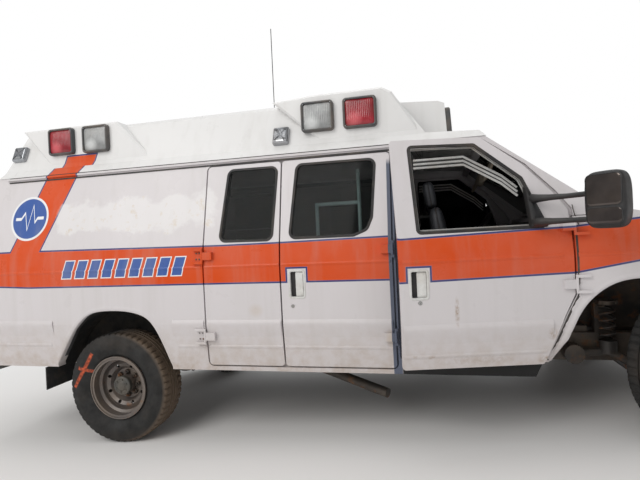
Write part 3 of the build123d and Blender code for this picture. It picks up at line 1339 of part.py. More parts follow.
SHELVES = ((-2340, -1880), (-1840, -1380), (-1340, -820))
with BuildPart() as cabinets:
    add(body_core(WALL + 6, CABINET_X[0], CABINET_X[1], FLOOR_Z, CABINET_TOP_Z)
        & block(*CABINET_X, CABINET_Y, 1000, FLOOR_Z, CABINET_TOP_Z))
    add(body_core(WALL + 6, COUNTER_X[0], COUNTER_X[1], FLOOR_Z, COUNTER_TOP_Z)
        & block(*COUNTER_X, CABINET_Y, 1000, FLOOR_Z, COUNTER_TOP_Z))
    for x0, x1 in SHELVES:
        for low, top in ((1090, 1400), (1440, 1740)):
            add(block(x0, x1, CABINET_Y - 10, 790, low, top), mode=Mode.SUBTRACT)
    add(tub_left, mode=Mode.SUBTRACT)
    add(block(*BENCH_X, -BENCH_Y[0], -BENCH_Y[1], FLOOR_Z, BENCH_TOP_Z))
    add(tub_right, mode=Mode.SUBTRACT)
    add(body_core(WALL + 8, BULKHEAD_X, BULKHEAD_X + BULKHEAD_SHEET, FLOOR_Z, RAIL_Z)
        & block(BULKHEAD_X, BULKHEAD_X + BULKHEAD_SHEET, -1000, 1000, FLOOR_Z, RAIL_Z))
    add(block(BULKHEAD_X, BULKHEAD_X + BULKHEAD_SHEET, -330, 330, FLOOR_Z, RAIL_Z - 60), mode=Mode.SUBTRACT)

with BuildPart() as grab_frame:
    add(rod((195, GRAB_Y, FLOOR_Z), (195, GRAB_Y, 1745), GRAB_TUBE))
    add(rod((-110, GRAB_Y, FLOOR_Z), (-110, GRAB_Y, 1515), GRAB_TUBE))
    add(rod((-110, GRAB_Y, 1515), (195, GRAB_Y, 1515), GRAB_TUBE))
    with Locations((-110, GRAB_Y, 1515)):
        Sphere(GRAB_TUBE)

with BuildPart() as mud_flaps:
    for side in (RIGHT, LEFT):
        add(block(-2116, -2108, side * 690, side * 980, 262, SILL_Z - 4))
        add(block(-2116, -2108, side * 690, side * 890, 300, FLOOR_Z - FLOOR_PLATE))

with BuildPart() as radiator:
    add(block(2440, 2490, -395, 395, RAIL_FOOT_Z + RAIL_HIGH, 1040))
    chamfer(radiator.edges().filter_by(Axis.X), 14)
    for side in (RIGHT, LEFT):
        add(block(2440, 2490, side * 360, side * RAIL_Y, RAIL_FOOT_Z + RAIL_HIGH + SEAT_GAP, RAIL_FOOT_Z + RAIL_HIGH + 30))

# Every piece, by the name of its node
PIECES = {
    "body_side_right": body_side_right.part,
    "body_side_left": body_side_left.part,
    "rear_frame": rear_frame.part,
    "cab_shell": cab_shell.part,
    "fixed_glass": fixed_glass.part,
    "raised_roof": raised_roof.part,
    "roof_lamps": roof_lamps.part,
    "antenna": antenna.part,
    "tail_lamps": tail_lamps.part,
    "wings": wings.part,
    "front_panel": front_panel.part,
    "grille": grille.part,
    "headlamps": headlamps.part,
    "hood": hood.part,
    "front_bumper": front_bumper.part,
    "rear_bumper": rear_bumper.part,
    "chassis_frame": chassis_frame.part,
    "floor_pan": floor_pan.part,
    "rear_axle": rear_axle.part,
    "springs": springs.part,
    "front_beams": front_beams.part,
    "engine_and_shaft": engine_and_shaft.part,
    "fuel_tank": fuel_tank.part,
    "exhaust": exhaust.part,
    "radiator": radiator.part,
    "mud_flaps": mud_flaps.part,
    "seat_bases": seat_bases.part,
    "cab_seats": cab_seats.part,
    "dashboard": dashboard.part,
    "steering_wheel": steering_wheel.part,
    "engine_cover": engine_cover.part,
    "bench_cushion": bench_cushion.part,
    "cabinets": cabinets.part,
    "grab_frame": grab_frame.part,
    "door_front_right": door_front_right,
    "mirror_right": mirror_right,
    "door_front_left": door_front_left,
    "glass_front_left": glass_front_left.part,
    "mirror_left": mirror_left,
    "door_side_front": door_side_front.part,
    "glass_side_front": glass_side_front.part,
    "door_side_rear": door_side_rear.part,
    "glass_side_rear": glass_side_rear.part,
    "door_rear_right": rear_leaves[RIGHT],
    "door_rear_left": rear_leaves[LEFT],
    "knuckle_right": knuckles["front_right"],
    "knuckle_left": knuckles["front_left"],
}
for hand, word in ((RIGHT, "right"), (LEFT, "left")):
    PIECES[f"glass_rear_{word}"] = rear_panes[hand]
for name in tyres:
    PIECES[f"tyre_{name}"] = tyres[name]
    PIECES[f"wheel_{name}"] = wheels[name]
for name, piece in PIECES.items():
    set_down(piece, name)
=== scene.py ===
"""The looks of a worn van ambulance with a raised roof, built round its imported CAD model.

Shapes are worked out in the drawing frame of the CAD source: X forward, Y left, Z up from the body
datum, in millimetres. The function place() sets them down, nose low, in the row frame in metres.
"""

import math

import bmesh
import bpy
import numpy as np
from mathutils import Euler, Matrix, Vector


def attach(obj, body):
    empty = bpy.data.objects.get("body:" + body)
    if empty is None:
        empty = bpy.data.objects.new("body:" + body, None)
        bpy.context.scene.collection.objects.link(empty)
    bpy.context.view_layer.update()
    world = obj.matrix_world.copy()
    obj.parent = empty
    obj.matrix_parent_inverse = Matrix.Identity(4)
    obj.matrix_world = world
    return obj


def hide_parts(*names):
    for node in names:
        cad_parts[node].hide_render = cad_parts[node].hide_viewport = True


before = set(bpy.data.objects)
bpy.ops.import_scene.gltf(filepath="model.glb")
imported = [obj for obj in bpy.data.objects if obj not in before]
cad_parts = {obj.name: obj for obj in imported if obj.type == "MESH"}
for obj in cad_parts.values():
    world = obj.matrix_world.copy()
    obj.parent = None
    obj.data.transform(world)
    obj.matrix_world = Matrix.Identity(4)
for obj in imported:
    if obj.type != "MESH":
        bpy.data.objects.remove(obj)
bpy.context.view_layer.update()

bl_info = {
    "name": "Worn Van Ambulance",
    "version": (1, 0, 0),
    "blender": (4, 5, 0),
    "location": "View3D > Sidebar > Ambulance",
    "description": "Paint, glass, lamps, trim and cab of a worn van ambulance with a raised roof",
    "category": "Object",
}

# How the body sits, as in the CAD source
RAKE = math.atan2(500 - 286, 3505)
COS, SIN = math.cos(RAKE), math.sin(RAKE)
SHIFT_X = -(530 + 410) / 2 * SIN
LIFT = 387 - (286 * COS + 1534 * SIN)
HINGE = (1437.0, -1015.0)
AJAR = math.radians(13.5)
STEER = math.radians(33)
FRONT_AXLE = (1971.0, 741.5, 500.0)
SIDE_ROWS = np.array(((965, 430), (1000, 739), (1003, 1118), (985, 1260), (855, 1817)), float)
RIGHT, LEFT = -1, 1

# Window outlines on a body side, as X and Z
REAR_LEAF_WINDOW = ((-696, 1282), (-325, 1277), (-300, 1767), (-651, 1769))
FRONT_LEAF_WINDOW = ((-213, 1282), (205, 1282), (290, 1316), (322, 1392), (348, 1767), (-172, 1770))
FRONT_DOOR_WINDOW = ((580, 1275), (1306, 1281), (1201, 1569), (952, 1780), (568, 1783))


# Placing
def place(points):
    """Row-frame metres of drawing-frame millimetres: turned about Y by the rake, then shifted."""
    p = np.asarray(points, float)
    x = p[..., 0] * COS + p[..., 2] * SIN + SHIFT_X
    z = p[..., 2] * COS - p[..., 0] * SIN + LIFT
    return np.stack([x, p[..., 1], z], -1) / 1000


def turned(points, centre, angle):
    """Points turned about the upright axis through centre by an angle in radians."""
    p = np.array(points, float)
    x, y = p[..., 0] - centre[0], p[..., 1] - centre[1]
    p[..., 0] = centre[0] + x * math.cos(angle) - y * math.sin(angle)
    p[..., 1] = centre[1] + x * math.sin(angle) + y * math.cos(angle)
    return p


def ajar(points):
    """Points of the shut right front door, swung out to where it stands."""
    return turned(points, HINGE, AJAR)


def breadth(z):
    """Half breadth of the body side at a height: straight between its rows and past the last one."""
    z = np.asarray(z, float)
    rows = SIDE_ROWS[:, 1]
    low, high = SIDE_ROWS[-2], SIDE_ROWS[-1]
    past = low[0] + (high[0] - low[0]) * (z - low[1]) / (high[1] - low[1])
    return np.where(z > rows[-2], past, np.interp(z, rows, SIDE_ROWS[:, 0]))


def on_side(x, z, side, out=0.0):
    """Points on one body side at the given X and Z, standing out from the skin by a distance."""
    x, z = np.broadcast_arrays(np.asarray(x, float), np.asarray(z, float))
    return np.stack([x, side * (breadth(z) + out), z], -1)


# Surfaces
def grid_faces(rows, columns, wrap_rows, wrap_columns):
    """Quads of a grid of points, row by row, closed round in either direction where asked."""
    r = np.arange(rows if wrap_rows else rows - 1)
    c = np.arange(columns if wrap_columns else columns - 1)
    r, c = (a.ravel() for a in np.meshgrid(r, c, indexing="ij"))
    up, on = (r + 1) % rows, (c + 1) % columns
    return np.stack([r * columns + c, r * columns + on, up * columns + on, up * columns + c], -1)


def sheet(points, wrap_rows=False, wrap_columns=False, caps=False):
    """One grid surface. Caps close the first and last row with a fan to its mean point."""
    points = np.asarray(points, float)
    rows, columns = points.shape[:2]
    verts, quads = points.reshape(-1, 3), grid_faces(rows, columns, wrap_rows, wrap_columns)
    fans = []
    if caps:
        poles = np.stack([points[0].mean(0), points[-1].mean(0)])
        first, count = len(verts), np.arange(columns)
        following = (count + 1) % columns
        fans.append(np.stack([following, count, np.full(columns, first)], -1))
        base = (rows - 1) * columns
        fans.append(np.stack([base + count, base + following, np.full(columns, first + 1)], -1))
        verts = np.concatenate([verts, poles])
    return verts, quads, (np.concatenate(fans) if fans else np.zeros((0, 3), int))


def rounded(corners, radius, steps=6):
    """A closed outline with each corner replaced by an arc that is tangent to both of its edges."""
    p = np.asarray(corners, float)
    radii = np.broadcast_to(np.asarray(radius, float), len(p))
    out = []
    for i, corner in enumerate(p):
        a, b = p[i - 1] - corner, p[(i + 1) % len(p)] - corner
        la, lb = np.linalg.norm(a), np.linalg.norm(b)
        a, b = a / la, b / lb
        half = math.acos(max(-1, min(1, float(a @ b)))) / 2
        cut = min(radii[i] / math.tan(half), 0.48 * la, 0.48 * lb)
        r = cut * math.tan(half)
        middle = corner + (a + b) / np.linalg.norm(a + b) * (r / math.sin(half))
        start, end = corner + a * cut - middle, corner + b * cut - middle
        t0, t1 = math.atan2(start[1], start[0]), math.atan2(end[1], end[0])
        sweep = (t1 - t0 + math.pi) % (2 * math.pi) - math.pi
        t = t0 + sweep * np.linspace(0, 1, steps + 1)
        out.append(middle + r * np.stack([np.cos(t), np.sin(t)], -1))
    return np.concatenate(out)


def around(steps):
    """Angles evenly spaced round a circle."""
    return np.linspace(0, 2 * math.pi, steps, endpoint=False)


def circle(steps):
    """Points evenly spaced round a unit circle."""
    t = around(steps)
    return np.stack([np.cos(t), np.sin(t)], -1)


def box_outline(x0, x1, z0, z1):
    """The corners of an upright rectangle, from its low first corner round."""
    return (x0, z0), (x1, z0), (x1, z1), (x0, z1)


def bent(t, power):
    """A sine or cosine bent towards a square wave: its sign times its size to a power."""
    return np.sign(t) * np.abs(t) ** power


def outward(outline):
    """Unit normals of a closed flat outline, pointing away from its inside."""
    along = np.roll(outline, -1, 0) - np.roll(outline, 1, 0)
    normal = np.stack([along[:, 1], -along[:, 0]], -1)
    normal /= np.linalg.norm(normal, axis=1, keepdims=True) + 1e-9
    x, y = outline[:, 0], outline[:, 1]
    area = (x * np.roll(y, -1) - np.roll(x, -1) * y).sum()
    return normal if area > 0 else -normal


def skin(side):
    """The surface of a body side: carries flat X and Z, with a distance out, on to it."""
    return lambda flat, out: on_side(flat[..., 0], flat[..., 1], side, out)


def plane(origin, across, up):
    """A flat surface: carries flat points along across and up, with a height along their cross product."""
    origin, across, up = (np.asarray(v, float) for v in (origin, across, up))
    out = np.cross(across, up)
    return lambda flat, height: origin + flat[..., :1] * across + flat[..., 1:] * up + height * out


def facing_front(x, y, z):
    """A flat surface that looks forward, with Y across it and Z up."""
    return plane((x, y, z), (0, 1, 0), (0, 0, 1))


def facing_back(x, y, z):
    """A flat surface that looks back, with Y across it, towards the right, and Z up."""
    return plane((x, y, z), (0, -1, 0), (0, 0, 1))


def facing_side(x, y, z, side, slope=0.0):
    """A flat surface that looks to one side, with X across it, leaning inward as it rises by a slope."""
    return plane((x, side * y, z), (-side, 0, 0), (0, -side * math.sin(slope), math.cos(slope)))


def moulding(outline, section, put):
    """A closed moulding round an outline on a surface. Each row of its section gives how far out from the
    outline, and how far out from the surface, that line of the moulding runs."""
    rows = [put(outline + outward(outline) * grow, out) for grow, out in section]
    return sheet(rows, wrap_rows=True, wrap_columns=True)


def slab(outline, levels, put):
    """A solid plate on a surface: each level gives how far the outline is grown and how far out it lies,
    from the back face to the front face."""
    outline = np.asarray(outline, float)
    normal = outward(outline)
    return sheet([put(outline + normal * grow, out) for grow, out in levels], wrap_columns=True, caps=True)


def strip(path, section, put):
    """A bar of one section along a flat path on a surface: the section's points are set to the left of
    the path and out from the surface."""
    path = np.asarray(path, float)
    along = np.gradient(path, axis=0)
    along /= np.linalg.norm(along, axis=1, keepdims=True)
    aside = np.stack([-along[:, 1], along[:, 0]], -1)
    rows = np.stack([put(path + aside * a, out) for a, out in section], 1)
    return sheet(rows, wrap_columns=True, caps=True)


def carried(sheets, how):
    """The same surfaces with their points carried by a function."""
    return [(how(points), quads, fans) for points, quads, fans in sheets]


def spread(path, gap=40.0):
    """A path with points no further apart than a gap."""
    out = [np.asarray(path[0], float)]
    for end in np.asarray(path[1:], float):
        count = max(1, int(math.ceil(np.linalg.norm(end - out[-1]) / gap)))
        start = out[-1]
        out += [start + (end - start) * (i + 1) / count for i in range(count)]
    return np.array(out)


def level_bar(x0, x1, z, section, side, gap=40.0):
    """A bar of one section along a body side at one height."""
    return strip(spread(((x0, z), (x1, z)), gap), section, skin(side))


def cushion(half, square=0.32, crown=0.22, channels=(), depth=7.0, rows=26, columns=96):
    """A stuffed pad: a superellipsoid of X, Y and Z half sizes. Its top and bottom fall away from the
    middle with the square of the distance, and channels sink its top along lines of constant Y."""
    a, b, c = half
    v = np.linspace(-math.pi / 2, math.pi / 2, rows)[:, None]
    u = around(columns)[None]
    x = a * bent(np.cos(v), square) * bent(np.cos(u), square)
    y = b * bent(np.cos(v), square) * bent(np.sin(u), square)
    z = c * bent(np.sin(v), 0.6) * np.ones_like(u) * (1 - crown * ((x / a) ** 2 + (y / b) ** 2) / 2)
    for at in channels:
        z = z - depth * np.exp(-((y - at) / 9.0) ** 2) * (z > 0.3 * c)
    return sheet(np.stack([x, y, z], -1), wrap_columns=True)


def piping(half, square=0.32, radius=4.5, columns=96):
    """The corded seam round the widest line of a cushion."""
    ring = np.array(half[:2]) * bent(circle(columns), square)
    return tube(np.concatenate([ring, np.zeros((columns, 1))], 1), radius, 8, closed=True)


def ribbed_lens(wide, high, put, back, front, dome=8.0, pitch=12.0, deep=1.2, corner=0.0):
    """A lens with rows of upright prisms: its front is domed, and ribbed by a cosine of the given pitch.
    Near its top and bottom its rows draw in along an arc, which rounds the corners."""
    rows = []
    half = high / 2
    for y in half * np.sin(np.linspace(-math.pi / 2, math.pi / 2, 19)):
        past = max(0.0, abs(y) - (half - corner))
        inset = corner - math.sqrt(max(0.0, corner ** 2 - past ** 2)) if corner else 0.0
        x = np.linspace(-1, 1, max(24, int(wide / pitch * 6))) * (wide / 2 - inset)
        swell = (1 - (2 * x / wide) ** 4) * (1 - (y / half) ** 4)
        out = front + dome * swell - deep * (0.5 - 0.5 * np.cos(2 * math.pi * x / pitch))
        flat = np.stack([x, np.full_like(x, y)], -1)
        rows.append(np.concatenate([put(flat, out[:, None]), put(flat[[-1, 0]], back)]))
    return sheet(rows, wrap_columns=True, caps=True)


def tube(path, radius, sides=10, closed=False):
    """A round bar along a path: rings square to the path, carried on without twist from a fixed up."""
    p = np.asarray(path, float)
    if closed:
        along = np.roll(p, -1, 0) - np.roll(p, 1, 0)
    else:
        along = np.gradient(p, axis=0)
    along /= np.linalg.norm(along, axis=1, keepdims=True)
    mean = np.abs(along).mean(0)
    up = np.eye(3)[int(np.argmin(mean))]
    first = np.cross(along, up)
    first /= np.linalg.norm(first, axis=1, keepdims=True)
    second = np.cross(along, first)
    t = around(sides)
    r = np.broadcast_to(np.asarray(radius, float), len(p))[:, None, None]
    rings = p[:, None] + r * (np.cos(t)[:, None] * first[:, None] + np.sin(t)[:, None] * second[:, None])
    return sheet(rings, wrap_rows=closed, wrap_columns=True, caps=not closed)


def lathe(profile, centre, axis, steps=64):
    """A profile of (radius, distance along the axis) turned once round an axis."""
    axis = np.asarray(axis, float) / np.linalg.norm(axis)
    up = np.eye(3)[int(np.argmin(np.abs(axis)))]
    u = np.cross(axis, up)
    u /= np.linalg.norm(u)
    v = np.cross(axis, u)
    profile = np.asarray(profile, float)
    ring = circle(steps) @ np.stack([u, v])
    points = np.asarray(centre) + profile[:, :1, None] * ring + profile[:, 1:, None] * axis
    return sheet(points, wrap_columns=True)


def mesh_of(name, sheets, place_by=place, sharp=38):
    """One mesh of several surfaces: doubles merged, faces turned outwards, edges sharp past an angle."""
    verts, faces, base = [], [], 0
    for points, quads, fans in sheets:
        verts.append(points)
        faces += (quads + base).tolist() + (fans + base).tolist()
        base += len(points)
    mesh = bpy.data.meshes.new(name)
    mesh.from_pydata(place_by(np.concatenate(verts)).tolist(), [], faces)
    work = bmesh.new()
    work.from_mesh(mesh)
    bmesh.ops.remove_doubles(work, verts=work.verts, dist=2e-5)
    bmesh.ops.dissolve_degenerate(work, dist=1e-6, edges=work.edges)
    bmesh.ops.recalc_face_normals(work, faces=work.faces)
    limit = math.radians(sharp)
    for face in work.faces:
        face.smooth = True
    for edge in work.edges:
        edge.smooth = len(edge.link_faces) == 2 and edge.calc_face_angle(0) < limit
    work.to_mesh(mesh)
    work.free()
    return mesh


def piece(name, sheets, finish, body="body", replaces=(), move=None, sharp=38):
    """Makes a piece from its surfaces, gives it its finish and rides it on its CAD body."""
    place_by = (lambda p: place(move(p))) if move else place
    thing = bpy.data.objects.new(name, mesh_of(name, sheets, place_by, sharp))
    bpy.context.scene.collection.objects.link(thing)
    thing.data.materials.append(finish)
    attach(thing, body)
    if replaces:
        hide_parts(*replaces)
    return thing


# Finishes
class Finish:
    """A procedural material in the drawing frame: each call adds a node and returns its socket."""

    def __init__(self, name, color=(0.5, 0.5, 0.5), rough=0.5, swing=False, **sockets):
        self.material = bpy.data.materials.new(name)
        self.material.use_nodes = True
        self.tree = self.material.node_tree
        self.shader = self.tree.nodes["Principled BSDF"]
        self.set("Base Color", (*color, 1))
        self.set("Roughness", rough)
        for socket, value in sockets.items():
            self.set(socket.replace("_", " ").title().replace("Ior", "IOR"), value)
        there = self.add("TexCoord", 3)
        back = Euler((0, -RAKE, 0)).to_matrix()
        there = self.mapped(there, -(back @ Vector((SHIFT_X, 0, LIFT))) / 1000, (0, -RAKE, 0))
        if swing:
            pin = Vector((HINGE[0], HINGE[1], 0)) / 1000
            there = self.mapped(there, pin - Euler((0, 0, -AJAR)).to_matrix() @ pin, (0, 0, -AJAR))
        self.place = there
        parts = self.tree.nodes.new("ShaderNodeSeparateXYZ")
        self.tree.links.new(there, parts.inputs[0])
        self.x, self.y, self.z = parts.outputs

    def add(self, kind, pick=0, inputs=None, **settings):
        """Adds a node, fills its inputs and returns one of its outputs."""
        node = self.tree.nodes.new("ShaderNode" + kind)
        for key, value in settings.items():
            setattr(node, key, value)
        for key, value in (inputs or {}).items():
            self.put(node.inputs[key], value)
        return node.outputs[pick]

    def put(self, socket, value):
        """Links a socket into an input, or sets it to a plain value."""
        if isinstance(value, bpy.types.NodeSocket):
            self.tree.links.new(value, socket)
        else:
            socket.default_value = value

    def set(self, socket, value):
        """Sets or links an input of the material's shader."""
        self.put(self.shader.inputs[socket], value)

    def mapped(self, vector, location, rotation, scale=(1, 1, 1)):
        """A place scaled, turned and then moved."""
        inputs = {0: vector, 1: tuple(location), 2: rotation, 3: scale}
        return self.add("Mapping", 0, inputs, vector_type="POINT")

    def math(self, how, a, b=0.0):
        """One step of arithmetic."""
        return self.add("Math", 0, {0: a, 1: b}, operation=how)

    def times(self, *values):
        """The product of the values."""
        out = values[0]
        for value in values[1:]:
            out = self.math("MULTIPLY", out, value)
        return out

    def minus(self, a, b):
        """The first value less the second."""
        return self.math("SUBTRACT", a, b)

    def plus(self, a, b):
        """The sum of two values."""
        return self.math("ADD", a, b)

    def size(self, value):
        """A value without its sign."""
        return self.math("ABSOLUTE", value)

    def reach(self, a, b):
        """The length of a step of a and b."""
        return self.math("SQRT", self.plus(self.times(a, a), self.times(b, b)))

    def both(self, *values):
        """The least of the values: inside all of them."""
        out = values[0]
        for value in values[1:]:
            out = self.math("MINIMUM", out, value)
        return out

    def either(self, *values):
        """The greatest of the values: inside any of them."""
        out = values[0]
        for value in values[1:]:
            out = self.math("MAXIMUM", out, value)
        return out

    def within(self, value, low, high):
        """How far a value is inside a span, negative outside it."""
        return self.both(self.minus(value, low), self.minus(high, value))

    def over(self, value, low, high=None, soft=0.002):
        """1 where a value is over low, and under high if given, with a soft edge."""
        up = self.add("MapRange", 0, {0: value, 1: low - soft, 2: low + soft, 3: 0.0, 4: 1.0})
        if high is None:
            return up
        down = self.add("MapRange", 0, {0: value, 1: high - soft, 2: high + soft, 3: 1.0, 4: 0.0})
        return self.times(up, down)

    def ramp(self, value, low, high, start=0.0, end=1.0):
        """A value spread evenly from start, at low, to end, at high, and held outside them."""
        return self.add("MapRange", 0, {0: value, 1: low, 2: high, 3: start, 4: end})

    def noise(self, scale, detail=4.0, rough=0.55, stretch=None):
        """Noise on the drawing frame, with its axes stretched where asked."""
        vector = self.place if stretch is None else self.mapped(self.place, (0, 0, 0), (0, 0, 0), stretch)
        inputs = {"Vector": vector, "Scale": scale, "Detail": detail, "Roughness": rough}
        return self.add("TexNoise", 0, inputs)

    def blotches(self, scale, detail=4.0, low=0.3, high=0.7, start=0.0, end=1.0, rough=0.55, stretch=None):
        """Noise spread from start, where it is under low, to end, where it is over high."""
        return self.ramp(self.noise(scale, detail, rough, stretch), low, high, start, end)

    def mix(self, share, a, b):
        """The first colour giving way to the second by a share."""
        a, b = ((*v, 1) if isinstance(v, tuple) and len(v) == 3 else v for v in (a, b))
        return self.add("Mix", 2, {0: share, 6: a, 7: b}, data_type="RGBA", clamp_factor=True)

    def line(self, value, points):
        """A value read off straight runs between points; it is scaled to the curve's 0 to 1 and back."""
        xs, ys = [p[0] for p in points], [p[1] for p in points]
        low, high = min(ys), max(ys)
        node = self.tree.nodes.new("ShaderNodeFloatCurve")
        curve = node.mapping.curves[0]
        span = max(high - low, 1e-6)
        flat = [((x - xs[0]) / (xs[-1] - xs[0]), (y - low) / span) for x, y in points]
        curve.points[0].location, curve.points[1].location = flat[0], flat[-1]
        for x, y in flat[1:-1]:
            curve.points.new(x, y)
        for point in curve.points:
            point.handle_type = "VECTOR"
        node.mapping.update()
        self.put(node.inputs[1], self.ramp(value, xs[0], xs[-1]))
        return self.plus(self.times(node.outputs[0], span), low)

    def bump(self, height, distance=0.001, strength=1.0):
        """Relief of a height in metres, as it changes the way the surface faces."""
        inputs = {"Height": height, "Distance": distance, "Strength": strength}
        self.set("Normal", self.add("Bump", 0, inputs))


def spot(f, x, z, wide, high):
    """1 at a place on a body side, falling to 0 at the given half width and half height."""
    a = f.math("DIVIDE", f.minus(f.x, x), wide)
    b = f.math("DIVIDE", f.minus(f.z, z), high)
    return f.ramp(f.reach(a, b), 0.3, 1.0, 1.0, 0.0)


WHITE = (0.63, 0.60, 0.61)
ORANGE = (0.63, 0.062, 0.001)
NAVY = (0.028, 0.035, 0.16)
BLUE = (0.045, 0.105, 0.34)
DUST = (0.36, 0.26, 0.17)
RUST = (0.22, 0.085, 0.03)
# Painted shade, slate blue, for the pillar shaded by the ajar door
PILLAR_SHADE = (0.105, 0.120, 0.165)
# Underseal black, also laid as painted shade over the sill under the right front door
UNDERSEAL_AND_SHADE = (0.012, 0.012, 0.012)
CHALK = (0.55, 0.54, 0.50)
RUN_GREY = (0.42, 0.40, 0.36)
FADED_ORANGE = (0.65, 0.080, 0.006)
EMBLEM_WHITE = (0.78, 0.79, 0.80)
PULSE_WHITE = (0.80, 0.81, 0.82)
# Painted shade: near black for the inner faces of the load space
LOAD_SPACE_SHADE = (0.05, 0.05, 0.05)

# The livery and its marks, in metres along X and up Z of the drawing frame
STRIPE_LOW = ((-2.62, 1.030), (-2.2, 1.012), (0.45, 1.008), (0.47, 1.008), (1.436, 1.022), (1.769, 1.083),
              (2.64, 1.16))


STRIPE_TOP = ((-2.62, 1.277), (-2.12, 1.276), (-0.687, 1.259), (-0.274, 1.261), (0.445, 1.270),
              (0.465, 1.247), (1.432, 1.276), (1.79, 1.31), (2.64, 1.34))


BORDER = 0.0055
BORDER_SOFT = 0.0012
LOAD_HANDLE_GAP = (-0.233, -0.099, 0.895, 1.098)
DOOR_HANDLE_GAP = (0.506, 0.639, 0.900, 1.092)
# Half breadth of the outer skin at a height, and how far inside it the paint still shows
SKIN_LEAN = ((0.43, 0.965), (0.739, 1.0), (1.118, 1.003), (1.26, 0.985), (1.85, 0.8473), (1.905, 0.812),
             (2.188, 0.702))


SKIN_DEPTH = 0.034
WING_START, STRIPE_END = 1.44, 2.505
# The slanting band: its edge at a height, its run per metre up, its width, foot, top and step at the roof
BAND_EDGE, BAND_HEIGHT, BAND_RUN, BAND_WIDE = -2.378, 1.276, 0.437, 0.264
BAND_LOW, BAND_TOP = 1.1, 1.990
ROOF_FOOT, ROOF_STEP = 1.905, 0.07
EMBLEM_X, EMBLEM_Z, EMBLEM_RADIUS, EMBLEM_FIELD = -2.246, 1.524, 0.166, 0.150
PULSE_REACH, PULSE_HALF = 0.125, 0.011
PULSE = ((-0.16, 0.0), (-0.075, 0.0), (-0.045, 0.045), (-0.012, -0.085), (0.022, 0.10), (0.05, -0.03),
         (0.07, 0.0), (0.16, 0.0))


BARS_START, BARS_LONG, BARS_HEIGHT, BARS_LEAN = -1.916, 0.982, 1.134, 0.28
BAR_PITCH, BAR_HALF_WIDE, BAR_HALF_HIGH, BAR_EDGE = 0.1091, 0.036, 0.060, 0.007
# Spots of dirt and rust on a side, the door's also with one of painted shade for a dent: X, Z, half width,
# half height and strength
DOOR_STAINS_AND_DENT_SHADE = ((0.775, 0.835, 0.016, 0.095, 0.75), (0.535, 0.592, 0.028, 0.012, 0.5),
              # The spot at 0.555, 1.121 is painted shade for a dent by the crease
              (0.630, 0.587, 0.030, 0.016, 0.5), (0.555, 1.121, 0.035, 0.02, 0.25),
              (1.300, 0.690, 0.035, 0.04, 0.6), (1.262, 0.545, 0.05, 0.03, 0.6),
              (0.88, 0.56, 0.30, 0.035, 0.28))


BODY_SPOTS = ((-0.45, 0.83, 0.06, 0.05, 0.3), (0.405, 0.65, 0.03, 0.07, 0.5))
GHOST_X, GHOST_Z = (-2.001, -0.747), (1.383, 1.638)
# Painted shade: where the ajar door shades the pillar and the leaf's rear edge, in X and up to a height
PILLAR_SHADE_X, PILLAR_SHADE_TOP = (0.4145, 0.4665), 1.74
# Painted shade: the sill under the right front door, in X and up to a height
SILL_SHADE_X, SILL_SHADE_TOP = (0.468, 1.46), 0.517
# Painted shade: where the inner faces of the load space go near black, in X, Z and depth inside the skin
LOAD_SPACE_X, LOAD_SPACE_Z, LOAD_SPACE_DEPTH = (-2.54, 0.43), (0.5, 1.84), 0.036
BELOW_ALL = -1.0


def weathering(f, color):
    """Dust thickest near the sills, faint run marks down from the top, and a chalky mottle."""
    color = f.mix(f.times(f.blotches(2.3, 5.0, 0.35, 0.75), 0.10), color, CHALK)
    streaks = f.blotches(9.0, 3.0, 0.50, 0.80, rough=0.5, stretch=(1.6, 1.6, 0.09))
    color = f.mix(f.times(streaks, 0.16), color, RUN_GREY)
    low = f.ramp(f.z, 0.80, 0.42)
    speck = f.blotches(14.0, 6.0, 0.40, 0.72, rough=0.65)
    return f.mix(f.times(low, f.ramp(speck, 0, 1, 0.18, 0.62)), color, DUST)


def striped(f, color, outer, handle, swing):
    """The orange side stripe and the slanting band, with navy borders that also pass round a handle."""
    low, top = f.line(f.x, STRIPE_LOW), f.line(f.x, STRIPE_TOP)
    inside = f.both(f.minus(f.z, low), f.minus(top, f.z))
    left = f.plus(f.times(f.minus(f.z, BAND_HEIGHT), BAND_RUN), BAND_EDGE)
    jog = f.times(f.math("GREATER_THAN", f.z, ROOF_FOOT), ROOF_STEP)
    across = f.minus(f.x, f.plus(left, jog))
    slant = f.both(across, f.minus(BAND_WIDE, across), f.minus(f.z, BAND_LOW), f.minus(BAND_TOP, f.z))
    paint = f.either(inside, slant)
    if handle:
        x0, x1, _, z1 = handle
        notch = f.both(f.within(f.x, x0, x1), f.minus(z1, f.z))
        if not swing:
            notch = f.both(notch, f.times(f.y, -1.0))
        paint = f.both(paint, f.times(notch, -1.0))
    on = f.times(outer, f.math("LESS_THAN", f.x, STRIPE_END))
    border = f.times(f.over(paint, -BORDER, BORDER, BORDER_SOFT), on)
    orange = f.times(f.over(paint, BORDER, None, BORDER_SOFT), on)
    faded = f.mix(f.blotches(5.0, 4.0, 0.35, 0.7, 0.0, 0.30), ORANGE, FADED_ORANGE)
    return f.mix(border, f.mix(orange, color, faded), NAVY)


